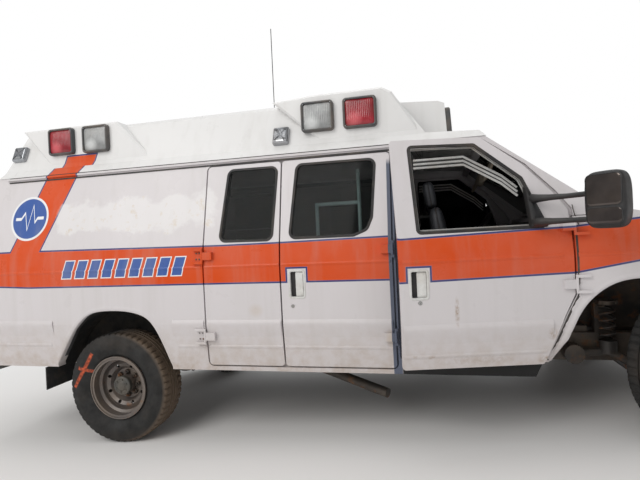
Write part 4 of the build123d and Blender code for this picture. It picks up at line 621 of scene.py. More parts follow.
def coachwork(name, swing=False, livery=True, handle=None, base=WHITE):
    """White paint with the stripe, the band, a roundel and bars, all laid out on X and Z, then weathered.
    Only the outer skin takes the livery."""
    f = Finish(name, WHITE, 0.30, swing, coat_weight=0.10, coat_roughness=0.12, specular_ior_level=0.22)
    color = f.mix(f.blotches(38.0, 3.0, end=0.05), base, tuple(0.9 * c for c in base))
    if livery:
        skin_depth = f.minus(f.line(f.z, SKIN_LEAN), f.size(f.y))
        outer = f.either(f.over(skin_depth, -0.2, SKIN_DEPTH), f.over(f.x, WING_START))
        color = striped(f, color, outer, handle, swing)
        if not swing:
            color = bars(f, emblem(f, color, outer), outer)
    color = weathering(f, color)
    if livery:
        color = door_marks(f, color) if swing else body_marks(f, color, skin_depth)
    f.set("Base Color", color)
    f.set("Roughness", f.blotches(6.0, 5.0, 0.3, 0.75, 0.24, 0.46))
    f.bump(f.noise(3.2, 2.0), 0.0012, 0.35)
    return f.material


def door_marks(f, color):
    """The ajar door's rust streak, scuffs and rusted lower corners, and a painted shade where a dent sits by
    the crease near its rear edge.
    """
    rough = f.blotches(42.0, 6.0, 0.40, 0.62, rough=0.7)
    for x, z, wide, high, share in DOOR_STAINS_AND_DENT_SHADE:
        color = f.mix(f.times(spot(f, x, z, wide, high), rough, share), color, (0.26, 0.15, 0.06))
    return color


def body_marks(f, color, skin_depth):
    """The patch where lettering was taken off and its yellowed glue, then painted shade: a slate-blue strip
    over the pillar and the leaf's rear edge beside the right front door, near black over the sill under that
    door, and near black over the inner faces of the load space."""
    inside = f.both(f.within(f.x, *GHOST_X), f.within(f.z, *GHOST_Z))
    patch = f.ramp(f.plus(inside, f.blotches(7.0, 5.0, 0.3, 0.7, -0.05, 0.05)), 0.0, 0.03)
    color = f.mix(f.times(patch, 0.34), color, (0.84, 0.84, 0.83))
    glue = f.times(patch, f.blotches(16.0, 6.0, 0.56, 0.72, rough=0.7), 0.55)
    color = f.mix(glue, color, (0.56, 0.44, 0.28))
    for x, z, wide, high, share in BODY_SPOTS:
        color = f.mix(f.times(spot(f, x, z, wide, high), share), color, (0.50, 0.40, 0.30))
    right = f.math("LESS_THAN", f.y, 0.0)
    # Painted shade: the slate strip on the right side beside the ajar door
    pillar = f.times(right, f.over(f.x, *PILLAR_SHADE_X, 0.001), f.over(f.z, BELOW_ALL, PILLAR_SHADE_TOP, 0.02))
    color = f.mix(pillar, color, PILLAR_SHADE)
    # Painted shade: underseal black over the sill, where it lies in shadow under the door
    sill = f.times(f.over(f.x, *SILL_SHADE_X), f.over(f.z, BELOW_ALL, SILL_SHADE_TOP, 0.001))
    color = f.mix(sill, color, UNDERSEAL_AND_SHADE)
    # Painted shade: near black on the inner faces of the load space, as its dim inside looks
    deep = f.over(skin_depth, LOAD_SPACE_DEPTH)
    inner = f.times(deep, f.over(f.x, *LOAD_SPACE_X), f.over(f.z, *LOAD_SPACE_Z))
    return f.mix(inner, color, LOAD_SPACE_SHADE)


def emblem(f, color, outer):
    """A plain blue roundel with a white rim and a white pulse line."""
    dx, dz = f.minus(f.x, EMBLEM_X), f.minus(f.z, EMBLEM_Z)
    away = f.reach(dx, dz)
    disc = f.times(f.over(away, BELOW_ALL, EMBLEM_RADIUS, 0.0015), outer)
    blue = f.times(f.over(away, BELOW_ALL, EMBLEM_FIELD, 0.0015), outer)
    near = f.size(f.minus(dz, f.line(dx, PULSE)))
    mark = f.times(f.over(near, BELOW_ALL, PULSE_HALF, 0.002), f.over(away, BELOW_ALL, PULSE_REACH), outer)
    return f.mix(mark, f.mix(blue, f.mix(disc, color, EMBLEM_WHITE), BLUE), PULSE_WHITE)


def bars(f, color, outer):
    """Nine slanting blue bars with white edges, in place of the words."""
    dz = f.minus(f.z, BARS_HEIGHT)
    along = f.minus(f.minus(f.x, BARS_START), f.times(dz, BARS_LEAN))
    off = f.size(f.minus(f.math("FRACT", f.math("DIVIDE", along, BAR_PITCH)), 0.5))
    wide = f.minus(BAR_HALF_WIDE, f.times(off, BAR_PITCH))
    high = f.minus(BAR_HALF_HIGH, f.size(dz))
    inside = f.both(wide, high, along, f.minus(BARS_LONG, along))
    edge = f.times(f.over(inside, -BAR_EDGE, None, 0.001), outer)
    fill = f.times(f.over(inside, 0.0, None, 0.001), outer)
    return f.mix(fill, f.mix(edge, color, EMBLEM_WHITE), BLUE)


def plain(name, color, rough, spread=0.12, scale=30.0, dust=0.25, bump=0.0, swing=False, **sockets):
    """A moulded or painted finish: a colour with fine mottle, dust that gathers low, and its grain."""
    f = Finish(name, color, rough, swing, **sockets)
    dark = tuple(c * (1 - spread) for c in color)
    light = tuple(min(1, c * (1 + spread) + 0.004) for c in color)
    made = f.mix(f.blotches(scale, 5.0, 0.3, 0.7), dark, light)
    worn = f.times(f.blotches(7.0, 6.0, 0.42, 0.75, rough=0.6), dust)
    f.set("Base Color", f.mix(worn, made, DUST))
    smooth, coarse = max(0.03, rough - 0.07), min(1, rough + 0.09)
    f.set("Roughness", f.blotches(scale * 0.7, 4.0, 0.3, 0.7, smooth, coarse))
    if bump:
        f.bump(f.noise(scale * 6, 3.0), bump)
    return f.material


def rusty(name, color=(0.10, 0.095, 0.09), rough=0.6, share=0.5, metallic=0.4):
    """Old steel: dark metal breaking into brown rust in patches, with road dust over it."""
    f = Finish(name, color, rough, metallic=metallic)
    patches = f.blotches(11.0, 8.0, 0.62 - 0.3 * share, 0.74 - 0.2 * share, rough=0.65)
    tint = f.mix(f.blotches(60.0, 4.0, 0.3, 0.7), RUST, (0.30, 0.15, 0.07))
    made = f.mix(patches, color, tint)
    made = f.mix(f.times(f.blotches(5.0, 5.0, 0.4, 0.8), 0.4), made, DUST)
    f.set("Base Color", made)
    f.set("Roughness", f.ramp(patches, 0, 1, rough - 0.1, 0.9))
    f.bump(f.noise(90.0, 5.0), 0.0008)
    return f.material


def stroke(f, start, end, half):
    """1 within half a width of a straight stroke between two places in X and Z, with a sprayed edge."""
    (x0, z0), (x1, z1) = start, end
    long = math.hypot(x1 - x0, z1 - z0)
    ux, uz = (x1 - x0) / long, (z1 - z0) / long
    dx, dz = f.minus(f.x, x0), f.minus(f.z, z0)
    along = f.plus(f.times(dx, ux), f.times(dz, uz))
    off = f.size(f.minus(f.times(dx, uz), f.times(dz, ux)))
    inside = f.both(f.minus(half, off), along, f.minus(long, along))
    return f.over(inside, 0.0, None, 0.004)


# The two strokes sprayed on the right rear tyre, from end to end in X and Z
SPRAYED = (((-1.720, 0.530), (-1.875, 0.285)), ((-1.835, 0.425), (-1.730, 0.395)))
SPRAY_HALF = 0.011


def tyre_rubber(name, marked=False):
    """Old tyre rubber, greyed and dusted brown in patches. The marked one has two sprayed strokes, and
    more dust on the front of its shoulder."""
    f = Finish(name, (0.02, 0.02, 0.02), 0.75)
    made = f.mix(f.blotches(20.0, 5.0, 0.3, 0.7), (0.006, 0.006, 0.006), (0.017, 0.016, 0.015))
    dusty = f.times(f.blotches(4.5, 6.0, 0.48, 0.78, rough=0.62), 0.14)
    if marked:
        x, _, z, *_ = WHEELS["rear_right"]
        dx, dz = f.minus(f.x, x / 1000), f.minus(f.z, z / 1000)
        fore = f.times(f.ramp(dx, -0.05, 0.20), f.ramp(f.reach(dx, dz), 0.355, 0.383), 0.85)
        dusty = f.either(dusty, fore)
    made = f.mix(dusty, made, (0.15, 0.105, 0.07))
    if marked:
        spray = f.either(*(stroke(f, start, end, SPRAY_HALF) for start, end in SPRAYED))
        spray = f.times(spray, f.blotches(55.0, 4.0, 0.35, 0.62, 0.25, 0.9))
        made = f.mix(spray, made, (0.62, 0.10, 0.03))
    f.set("Base Color", made)
    f.set("Roughness", f.blotches(14.0, 4.0, 0.3, 0.7, 0.62, 0.88))
    f.bump(f.noise(160.0, 3.0), 0.0005)
    return f.material


def lens_finish(name, color):
    """A moulded lens: a clean plastic gloss over its colour, deeper in patches, with a painted highlight low
    in the middle of each lamp on the raised roof, where its reflector shines, and dusty."""
    f = Finish(name, color, 0.14, specular_ior_level=0.6)
    deep = tuple(0.45 * c for c in color)
    made = f.mix(f.blotches(9.0, 3.0, 0.3, 0.7), deep, color)
    highlight_color = tuple(min(1.0, 1.5 * c + 0.10) for c in color)
    # Painted highlight: a lighter spot low in each roof lamp stands for the shine of its reflector
    for x, z, _ in POD_LAMPS:
        painted_highlight = spot(f, x / 1000 - 0.035, z / 1000 - 0.045, 0.06, 0.055)
        made = f.mix(f.times(painted_highlight, 0.75), made, highlight_color)
    f.set("Base Color", f.mix(f.times(f.blotches(7.0, 6.0, 0.45, 0.8), 0.14), made, DUST))
    f.set("Roughness", f.blotches(16.0, 4.0, 0.3, 0.7, 0.09, 0.30))
    return f.material


def tinted_glass(name, color, opacity):
    """Dark glass: a smooth coat over a colour that hides part of the view, with dust and dried runs."""
    f = Finish(name, color, 0.04, specular_ior_level=0.16)
    runs = f.blotches(8.0, 4.0, 0.48, 0.78, stretch=(1.8, 1.8, 0.14))
    film = f.times(f.blotches(3.0, 6.0, 0.45, 0.85, rough=0.6), 0.06)
    film = f.either(film, f.times(runs, 0.035))
    f.set("Base Color", f.mix(film, color, (0.16, 0.155, 0.14)))
    f.set("Alpha", f.ramp(film, 0.0, 0.07, opacity, min(1.0, opacity + 0.12)))
    f.set("Roughness", f.ramp(film, 0.0, 0.12, 0.03, 0.12))
    return f.material


def seat_vinyl(name, color):
    """Grained vinyl, rubbed lighter in patches."""
    f = Finish(name, color, 0.48, specular_ior_level=0.45)
    worn = tuple(2.6 * c + 0.02 for c in color)
    f.set("Base Color", f.mix(f.times(f.blotches(6.0, 6.0, 0.45, 0.75), 0.5), color, worn))
    f.set("Roughness", f.blotches(25.0, 4.0, 0.3, 0.7, 0.38, 0.62))
    f.bump(f.noise(420.0, 2.0), 0.0004)
    return f.material


# Where things are on the car, in the drawing frame
WHEELS = {
    "rear_right": (-1534.0, 853.5, 286.0, RIGHT, False),
    "rear_left": (-1534.0, 853.5, 286.0, LEFT, False),
    "front_right": (1971.0, 881.5, 500.0, RIGHT, True),
    "front_left": (1971.0, 881.5, 500.0, LEFT, True),
}
SIDES = ((RIGHT, "right"), (LEFT, "left"))
REAR_FACE = -2590
GLASS_CORNER = 45.0
DOOR_GLASS_CORNER = 24.0
REAR_WINDOW = ((120, 1262), (668, 1262), (606, 1712), (120, 1712))
WINDSCREEN = ((-862, 36), (862, 36), (752, 672), (-752, 672))
WINDSCREEN_UP = (-0.7795, 0, 0.6264)
WINDSCREEN_PLANE = plane((1570, 0, 1400), (0, 1, 0), WINDSCREEN_UP)
ROOF_SLOPE = math.radians(21.24)
REAR_SLOPE = math.radians(21.1)
# Lamps: those of the roof's sides as X, Z and colour, of its box and back as Y
POD_LAMPS = ((-2030, 2100, "red"), (-1729, 2096, "clear"), (-28, 2083, "clear"), (255, 2081, "red"))
POD_FACE = 800
BOX_LAMPS = (-460, -230, 0, 230, 460)
BOX_FACE, BOX_HEIGHT, BOX_LEAN = 802.3, 2025, 0.048
BACK_LAMPS = (-480, 0, 480)
BACK_FACE = (-2562, 1885)
BACK_HEIGHT = 2040
SCENE_LAMPS = ((-2452, 2040, 118, 124), (-290, 1976, 112, 130))
TAIL_LAMP = (892, 1090)
HEAD_LAMP = (2604, 742, 900)


def on_wheel(name):
    """Carries a wheel's own points to the drawing frame: X forward, Y outward from the middle of its
    tread and Z up, all from its hub. A front wheel is turned about its kingpin as it is steered."""
    x, track, z, side, steers = WHEELS[name]

    def carry(points):
        q = np.asarray(points, float)
        q = np.stack([x + q[..., 0], side * (track + q[..., 1]), z + q[..., 2]], -1)
        return turned(q, (FRONT_AXLE[0], side * FRONT_AXLE[1]), STEER) if steers else q

    return carry


TYRE_WALL = ((-84, 206), (-85, 222), (-93, 226.5), (-101, 240), (-112, 268), (-113.5, 271), (-119, 290),
             (-122, 304), (-120.5, 330), (-119.5, 332), (-115, 352), (-111, 365), (-109, 372), (-106, 379),
             (-98, 384))


TYRE_RADIUS, TYRE_HALF, TREAD_CROWN = 387, 98, 1.5
TREAD_GROOVES, GROOVE_TOP, GROOVE_FOOT, RIB = (-34, 0, 34), 5.5, 4.5, 17
NOTCH_DEPTH, SIPE_DEPTH, LUG_HEIGHT = 8.5, 5.0, 1.6


def tread_radius(w):
    """A worn tread falls away from its middle with the square of the distance."""
    return TYRE_RADIUS - TREAD_CROWN * (w / TYRE_HALF) ** 2


def tyre_surface(steps, groove):
    """A worn road tyre: one grid round the axle, with a section of (out, radius) for its columns. Grooves
    run round at three places, notches cross the shoulders at each fourth step, and sipes the ribs."""
    tread = [(w, tread_radius(w)) for w in (-90, -78, -66, -52)]
    ribs = []
    for middle in TREAD_GROOVES:
        crown = tread_radius(middle)
        ribs += [(middle - GROOVE_TOP, crown), (middle - GROOVE_FOOT, crown - groove),
                 (middle + GROOVE_FOOT, crown - groove), (middle + GROOVE_TOP, crown)]
        if middle < TREAD_GROOVES[-1]:
            ribs.append((middle + RIB, crown))
    outer = [(-w, r) for w, r in reversed(list(TYRE_WALL) + tread)]
    section = np.array(list(TYRE_WALL) + tread + ribs + outer + [(60, 214), (0, 218), (-60, 214)])
    t = around(steps)[:, None]
    k = np.arange(steps)[:, None]
    w, r = section[:, 0][None], np.repeat(section[:, 1][None], steps, 0)
    on_tread = r > 376
    shoulder = on_tread & (np.abs(w) > 50) & (k % 4 == 0)
    sipe = on_tread & (np.abs(np.abs(w) - RIB) < 1) & (k % 8 == 3)
    lug = (np.abs(w) > 111) & (r > 335) & (r < 366) & (k % 8 < 4)
    r = r - NOTCH_DEPTH * shoulder - SIPE_DEPTH * sipe + LUG_HEIGHT * lug
    points = np.stack([r * np.sin(t), w + 0 * t, r * np.cos(t)], -1)
    return sheet(points, wrap_rows=True, wrap_columns=True)


NUT_CIRCLE, CAP_BOLT_CIRCLE, NUT_RADIUS, CAP_BOLT_SCALE = 82.55, 44, 19, 0.34
STUD = ((0.01, -4), (8.2, -4), (9.4, -3), (9.4, 8), (7.8, 9.6), (0.01, 9.6))
HUB_CAP = ((0.01, 30), (66, 30), (67.4, 33), (67.4, 56), (65, 60), (58, 63.4), (52, 64), (50, 62), (38, 62.5),
           (34, 65), (30, 69), (18, 71.5), (0.01, 72))


VALVE = ((150, -30, 30), (154, -6, 31), (160, 16, 33), (166, 30, 35))


def bolted(outline, levels, radius, angle):
    """A plate on a wheel's face, at a radius and an angle in degrees from forward, and where it stands."""
    a = math.radians(angle)
    at = np.array([radius * math.cos(a), 0, radius * math.sin(a)])
    return slab(outline, levels, plane(at, (1, 0, 0), (0, 0, -1))), at


def wheel_fittings():
    """Eight nuts on their studs, a greased hub cap with its rim and bolts, and a valve, in a wheel's own
    frame."""
    angles = [math.radians(60 * i) for i in range(6)]
    hexagon = rounded([(NUT_RADIUS * math.cos(a), NUT_RADIUS * math.sin(a)) for a in angles], 1.5, 2)
    nuts, hub = [], [lathe(HUB_CAP, (0, 0, 0), (0, 1, 0), 72)]
    for i in range(8):
        levels = ((2, -22), (2, -19), (0, -18), (0, -3), (-3, 0), (-6, 1))
        nut, at = bolted(hexagon, levels, NUT_CIRCLE, 45 * i)
        nuts += [nut, lathe(STUD, at, (0, 1, 0), 16)]
    for i in range(6):
        levels = ((0, 60), (0, 66), (-1, 67))
        hub.append(bolted(hexagon * CAP_BOLT_SCALE, levels, CAP_BOLT_CIRCLE, 60 * i + 20)[0])
    return nuts, hub, [tube(VALVE, (4, 4, 3.4, 3.4), 10)]


def make_wheels(settings):
    """Four tyres, the right rear one with its sprayed strokes, and what is bolted to each wheel."""
    rubber, nut = tyre_rubber("tyre_rubber"), rusty("nut_steel", (0.05, 0.047, 0.045), 0.5, 0.35, 0.6)
    grease = plain("hub_enamel", (0.045, 0.048, 0.045), 0.5, dust=0.2)
    nuts, hub, valve = wheel_fittings()
    tyre = tyre_surface(settings.tread_steps, settings.groove_depth * 1000)
    for name in WHEELS:
        carry, body = on_wheel(name), "wheel_" + name
        look = tyre_rubber("marked_rubber", True) if name == "rear_right" else rubber
        piece("tyre_tread_" + name, [tyre], look, body, ("tyre_" + name,), carry, 30)
        piece("wheel_nuts_" + name, nuts, nut, body, move=carry, sharp=30)
        piece("hub_cap_" + name, hub, grease, body, move=carry, sharp=30)
        piece("valve_" + name, valve, rubber, body, move=carry)


# Glass and its seals: each section gives how far out from an outline, and from its surface, a line runs
SEAL = ((-12, -9), (-12, 0), (-9, 3.2), (-4, 3.6), (-2, 2.4), (0, 3.4), (3, 3.4), (5.5, 1), (5.5, -9))
DOOR_LIP = ((-9, -24), (-9, -16), (-4, -13), (1, -16), (1, -24))
DOOR_CHANNEL = ((-20, -34), (-20, -27), (-16, -24), (-10, -27), (-10, -34))
DOOR_WIPE = ((-3, -34), (-3, -18), (0, -14), (3, -18), (3, -34))
OPENING_PATH = ((580, 1735), (880, 1735), (1090, 1600), (1172, 1522))
OPENING_BAND = ((-7, -44.5), (-7, -40), (-4, -37.5), (4, -37.5), (7, -40), (7, -44.5))
OPENING_BEAD = [(a * 0.6, out - 0.8) for a, out in OPENING_BAND]


def make_glazing(settings):
    """A rubber round every window, and the channel, wipes and bands of the open one."""
    section = [(a * settings.seal_scale, out) for a, out in SEAL]
    rubber = plain("window_rubber", (0.012, 0.012, 0.013), 0.55, dust=0.12)

    def seal(name, outline, corner, put, body, move=None):
        line = rounded(outline, corner, 8)
        piece("seal_" + name, [moulding(line, section, put)], rubber, body, move=move)

    leaves = (("rear", REAR_LEAF_WINDOW), ("front", FRONT_LEAF_WINDOW))
    for name, outline in leaves:
        seal(name + "_leaf", outline, GLASS_CORNER, skin(RIGHT), "door_side_" + name)
    for side, name in SIDES:
        seal("front_door_" + name, FRONT_DOOR_WINDOW, DOOR_GLASS_CORNER, skin(side), "door_front_" + name,
             ajar if side == RIGHT else None)
    make_open_window(rubber)
    for name, outline in leaves:
        seal("left_" + name, outline, GLASS_CORNER, skin(LEFT), "body")
    for side, name in SIDES:
        outline = [(-side * y, z) for y, z in REAR_WINDOW]
        seal("rear_door_" + name, outline, GLASS_CORNER, facing_back(REAR_FACE, 0, 0), "door_rear_" + name)
    screen = moulding(rounded(WINDSCREEN, 60, 10), [(a * 1.2, out) for a, out in SEAL], WINDSCREEN_PLANE)
    piece("seal_windscreen", [screen], rubber, "body")


def make_open_window(rubber):
    """The lip and channel the right front glass runs in, the wipes along its sill, and the pale bands
    with rubber beads that line both front door openings behind the windows."""
    grey = plain("pale_seal", (0.30, 0.30, 0.29), 0.6, dust=0.35)
    line = rounded(FRONT_DOOR_WINDOW, DOOR_GLASS_CORNER, 8)
    channel = [moulding(line, section, skin(RIGHT)) for section in (DOOR_LIP, DOOR_CHANNEL)]
    piece("window_channel_right", channel, grey, "door_front_right", move=ajar)
    pale = plain("opening_trim", (0.46, 0.46, 0.45), 0.55, dust=0.3)
    top = spread(OPENING_PATH, 30)
    for side, name in SIDES:
        for kind, finish, section, drops in (("bands", pale, OPENING_BAND, (0, -26, -50)),
                                             ("beads", rubber, OPENING_BEAD, (-13, -38))):
            lines = [strip(top + (0, drop), section, skin(side)) for drop in drops]
            piece("opening_%s_%s" % (kind, name), lines, finish, "body")
    wipes = [level_bar(600, 1290, z, DOOR_WIPE, RIGHT) for z in (1266, 1275)]
    piece("window_wipe_right", wipes, grey, "door_front_right", move=ajar)


# Lamps
BEZEL = ((2, -8), (2, 24), (0, 29), (-4, 33), (-8, 34.5), (-12, 33), (-14, 29), (-14, -8))
BOWL = ((-12, -6), (-12, 4), (-18, 6))
LENS_INSET, SCREW_INSET, SCREW_OUT = 13, 15, 31.5
SCREW = ((0.0, -2), (1.0, -2), (1.0, 0.8), (0.8, 2.0), (0.45, 2.7), (0.4, 1.2), (0.0, 1.2))
SCENE_CASE = ((0, -12), (0, 20), (-5, 29), (-13, 34.5), (-16, 35.5), (-28, 35.5))
TAIL_TRAY = ((1, -6), (1, 14), (-2, 19), (-6, 20), (-9, 16), (-9, -6))
HEAD_RIM = ((2, -6), (2, 6), (0, 10), (-6, 11), (-9, 8), (-9, -6))


def roof_lamp_places():
    """Each lamp on the raised roof: its surface, its half width and half height, and its colour."""
    places = [(facing_side(x, POD_FACE, z, side), 108, 98, tint)
              for side, _ in SIDES for x, z, tint in POD_LAMPS]
    for y in BOX_LAMPS:
        put = plane((BOX_FACE, y, BOX_HEIGHT), (0, 1, 0), (-BOX_LEAN, 0, 1))
        places.append((put, 89, 98, "clear" if y == 0 else "red"))
    foot, height = BACK_FACE
    x = foot + (BACK_HEIGHT - height) * math.tan(REAR_SLOPE)
    for y in BACK_LAMPS:
        put = plane((x, y, BACK_HEIGHT), (0, -1, 0), (math.sin(REAR_SLOPE), 0, math.cos(REAR_SLOPE)))
        places.append((put, 108, 98, "clear" if y == 0 else "red"))
    return places


def lamp_outline(wide, high, corner=22):
    """A rounded rectangle of a half width and a half height about the middle of a surface."""
    return rounded(box_outline(-wide, wide, -high, high), corner, 6)


def screw(put, x, y, out, radius):
    """A domed screw with a round dip in its head."""
    rows = [put(np.array([x, y]) + circle(20) * max(share, 0.01) * radius, out + up) for share, up in SCREW]
    return sheet(rows, wrap_columns=True, caps=True)


def make_lamps(settings):
    """All the lamps: those of the roof, each with its bezel, bowl, lens and four screws, then the rest."""
    bezels, lenses, screws, bowls = [], {"red": [], "clear": []}, [], []
    dome = settings.lens_dome * 1000
    for put, wide, high, tint in roof_lamp_places():
        outline = lamp_outline(wide, high)
        bezels.append(moulding(outline, BEZEL, put))
        bowls.append(slab(outline, BOWL, put))
        lens_wide, lens_high = 2 * (wide - LENS_INSET), 2 * (high - LENS_INSET)
        lenses[tint].append(ribbed_lens(lens_wide, lens_high, put, 7, 23, dome, corner=24))
        screws += [screw(put, a * (wide - SCREW_INSET), b * (high - SCREW_INSET), SCREW_OUT, 4.5)
                   for a in (-1, 1) for b in (-1, 1)]
    grey = plain("lamp_bezel", (0.055, 0.058, 0.062), 0.45, dust=0.30)
    chrome = plain("dull_chrome", (0.36, 0.37, 0.39), 0.18, dust=0.15, metallic=0.95)
    red, clear = lens_finish("red_lens", (0.36, 0.010, 0.022)), lens_finish("clear_lens", (0.36, 0.37, 0.37))
    piece("roof_lamp_bezels", bezels, grey, "body", ("roof_lamps",))
    piece("roof_lamp_bowls", bowls, grey, "body")
    piece("roof_lamp_lenses_red", lenses["red"], red, "body")
    piece("roof_lamp_lenses_clear", lenses["clear"], clear, "body")
    piece("roof_lamp_screws", screws, chrome, "body", sharp=30)
    make_scene_lamps(chrome, clear)
    make_tail_lamps(red, clear, grey)
    make_head_lamps(chrome)


def make_scene_lamps(chrome, clear):
    """Load lamps on the sloped roof side: a chrome hood over a narrow ribbed lens at its foot."""
    cases, lenses = [], []
    for side, _ in SIDES:
        for x, z, wide, high in SCENE_LAMPS:
            y = 812 - (z - 1905) * math.tan(ROOF_SLOPE)
            put = facing_side(x, y, z, side, ROOF_SLOPE)
            cases.append(slab(lamp_outline(wide / 2, high / 2, 14), SCENE_CASE, put))
            foot_x, foot_y, foot_z = put(np.array((0.0, -0.29 * high)), 0)
            foot = facing_side(foot_x, side * foot_y, foot_z, side, ROOF_SLOPE)
            lenses.append(ribbed_lens(wide - 20, 0.26 * high, foot, 22, 33, 3.0, 8.0))
    piece("scene_lamp_cases", cases, chrome, "body")
    piece("scene_lamp_lenses", lenses, clear, "body")


def make_tail_lamps(red, clear, grey):
    """Tall tail lamps: a grey tray with a red lens over most of its height and a clear one low down."""
    trays, reds, clears = [], [], []
    middle, height = TAIL_LAMP
    for side, _ in SIDES:
        put = facing_back(REAR_FACE, side * middle, height)
        trays.append(moulding(lamp_outline(56, 150, 12), TAIL_TRAY, put))
        for z, high, kind in ((44, 190, reds), (-96, 84, clears)):
            put = facing_back(REAR_FACE, side * middle, height + z)
            kind.append(ribbed_lens(92, high, put, 2, 18, 6.0, 9.0))
    piece("tail_lamp_trays", trays, grey, "body", ("tail_lamps",))
    piece("tail_lamp_lenses_red", reds, red, "body")
    piece("tail_lamp_lenses_clear", clears, clear, "body")


def make_head_lamps(chrome):
    """Rims round the head lamps of the nose."""
    x, y, z = HEAD_LAMP
    rims = [moulding(lamp_outline(120, 92, 16), HEAD_RIM, facing_front(x, side * y, z)) for side, _ in SIDES]
    piece("head_lamp_rims", rims, chrome, "body")


# Outside trim: each section gives how far aside of a line, and how far out from the surface, it runs
RAIL = ((-5, -6), (-5, 3), (-3, 5), (3, 5), (5, 3), (5, -6))
CREASE = ((-15, -6), (-15, 0.1), (-9, 1.1), (-3, 2.8), (1, 3.3), (6, 2.2), (11, 0.3), (11, -6))
CREASE_TOP = 3.3
SHOULDER = ((-88, -6), (-88, 0.1), (-60, 3.2), (-30, 6.6), (-10, 9.0), (0, 9.6), (8, 8.0), (18, 3.0),
            (24, 0.2), (24, -6))


SHOULDER_Z = 748
# Pressed lines of each panel: its side, its body, and each run as its height, start and end
WING_RUNS = ((1121, 1452, 2470), (748, 2330, 2470))
PRESSINGS = (
    ("rear", RIGHT, "body", ((1121, -2570, -822), (748, -2570, -2014), (748, -1054, -822),
                             (592, -2570, -2044), (592, -1024, -822))),
    ("rear_leaf", RIGHT, "door_side_rear", ((1121, -796, -284), (748, -796, -284), (592, -796, -284))),
    ("front_leaf", RIGHT, "door_side_front", ((1121, -266, 424), (748, -266, 424), (592, -266, 424))),
    ("front_door", RIGHT, "door_front_right", ((1121, 476, 1374), (748, 476, 1302), (592, 476, 1270))),
    ("wing", RIGHT, "body", WING_RUNS),
    ("left_body", LEFT, "body", ((1121, -2570, 446), (748, -2570, -2014), (748, -1054, 446),
                                 (592, -2570, -2044), (592, -1024, 446))),
    ("left_door", LEFT, "door_front_left", ((1121, 476, 1374), (748, 476, 1374), (592, 476, 1270))),
    ("left_wing", LEFT, "body", WING_RUNS))


# Wheel arches, from rear to front, as X and Z, and the height at which each flange ends
REAR_ARCH = ((-2050, 400), (-1845, 705), (-1730, 812), (-1610, 840), (-1395, 838), (-1240, 792),
             (-1165, 680), (-1068, 400))


FRONT_ARCH = ((1250, 400), (1277, 512), (1386, 650), (1454, 813), (1542, 912), (1650, 975), (1790, 990),
              (2130, 985), (2270, 935), (2370, 825), (2415, 690), (2430, 400))


REAR_ARCH_FOOT, FRONT_ARCH_FOOT = 462, 520
ARCH_LIP = ((-2, -20), (-2, -1), (1, 2.5), (20, 2.6), (31, 0.3), (31, -3), (6, -3), (6, -20))


def make_mouldings(settings):
    """Two dark lines along the gutter, the upper for its seam to the roof and the lower a painted shadow
    under the drip rail, the lips of the arches, and the pressed lines of each panel.
    """
    dark = plain("gutter_seam_and_shadow", (0.02, 0.02, 0.021), 0.5, dust=0.2)
    # Painted shadow: the lower line, at 1812, stands for the shade beneath the drip rail; the upper one is
    # the dark seam to the roof
    lines = [level_bar(-2480, 440, z, [(a * half / 5, out) for a, out in RAIL], side)
             for side, _ in SIDES for z, half in ((1849, 6.5), (1812, 5.5))]
    piece("gutter_seam_and_shadow_lines", lines, dark, "body")
    paint = coachwork("pressing_paint", handle=LOAD_HANDLE_GAP)
    swung = coachwork("pressing_paint_ajar", True, handle=DOOR_HANDLE_GAP)
    lips = []
    for side, _ in SIDES:
        for arch, foot in ((REAR_ARCH, REAR_ARCH_FOOT), (FRONT_ARCH, FRONT_ARCH_FOOT)):
            path = eased(arch)
            lips.append(strip(path[path[:, 1] > foot], ARCH_LIP, skin(side)))
    piece("arch_lips", lips, paint, "body", sharp=50)
    rise = settings.crease_height * 1000 / CREASE_TOP
    crease = [(a, out * rise if out > 0 else out) for a, out in CREASE]
    for name, side, body, runs in PRESSINGS:
        lines = [level_bar(a, b, z, SHOULDER if z == SHOULDER_Z else crease, side) for z, a, b in runs]
        swings = body == "door_front_right"
        piece("pressing_" + name, lines, swung if swings else paint, body,
              move=ajar if swings else None, sharp=50)


def eased(path, times=4):
    """A path whose corners are cut to a smooth curve: each run gives its points at one and three quarters."""
    path = np.asarray(path, float)
    for _ in range(times):
        a, b = path[:-1], path[1:]
        cut = np.stack([0.75 * a + 0.25 * b, 0.25 * a + 0.75 * b], 1).reshape(-1, 2)
        path = np.concatenate([path[:1], cut, path[-1:]])
    return path


HANDLE_FRAME = ((7, -2), (7, 1.5), (4, 3.4), (-1, 3.6), (-5, 2), (-7, -3), (-7, -12), (-3, -12))
HANDLE_SLOT = ((0, -13.5), (0, -11), (-1, -10.6))
# Handle pockets as X and Z from and to, with the middle of the lock below
LOAD_HANDLE, LOAD_LOCK = (-214, -118, 909, 1079), (-199, 856)
DOOR_HANDLE, DOOR_LOCK = (524, 620, 916, 1073), (573, 894)
PADDLE_INSET, PADDLE_SHARE, PADDLE_DEPTH, PADDLE_RISE, PADDLE_BEAD, PADDLE_BACK = 9, 0.36, 11, 10.5, 1.4, 13.0
LOCK = ((11.5, -2), (11.5, 2), (10.5, 3.2), (9, 3.4), (8.2, 2.2), (8, 2.2), (6.2, 4.6), (0.1, 4.9))
KEYHOLE = ((0, 3), (0, 5.2), (-0.3, 5.4))
REAR_HANDLE_Y, REAR_HANDLE_Z = 96, 1085
REAR_TRAY = ((3, -3), (3, 2), (0, 4), (-5, 3), (-8, -3))
REAR_GRIP = ((-11, 0), (-11, 9), (-7, 13), (7, 13), (11, 9), (11, 0))


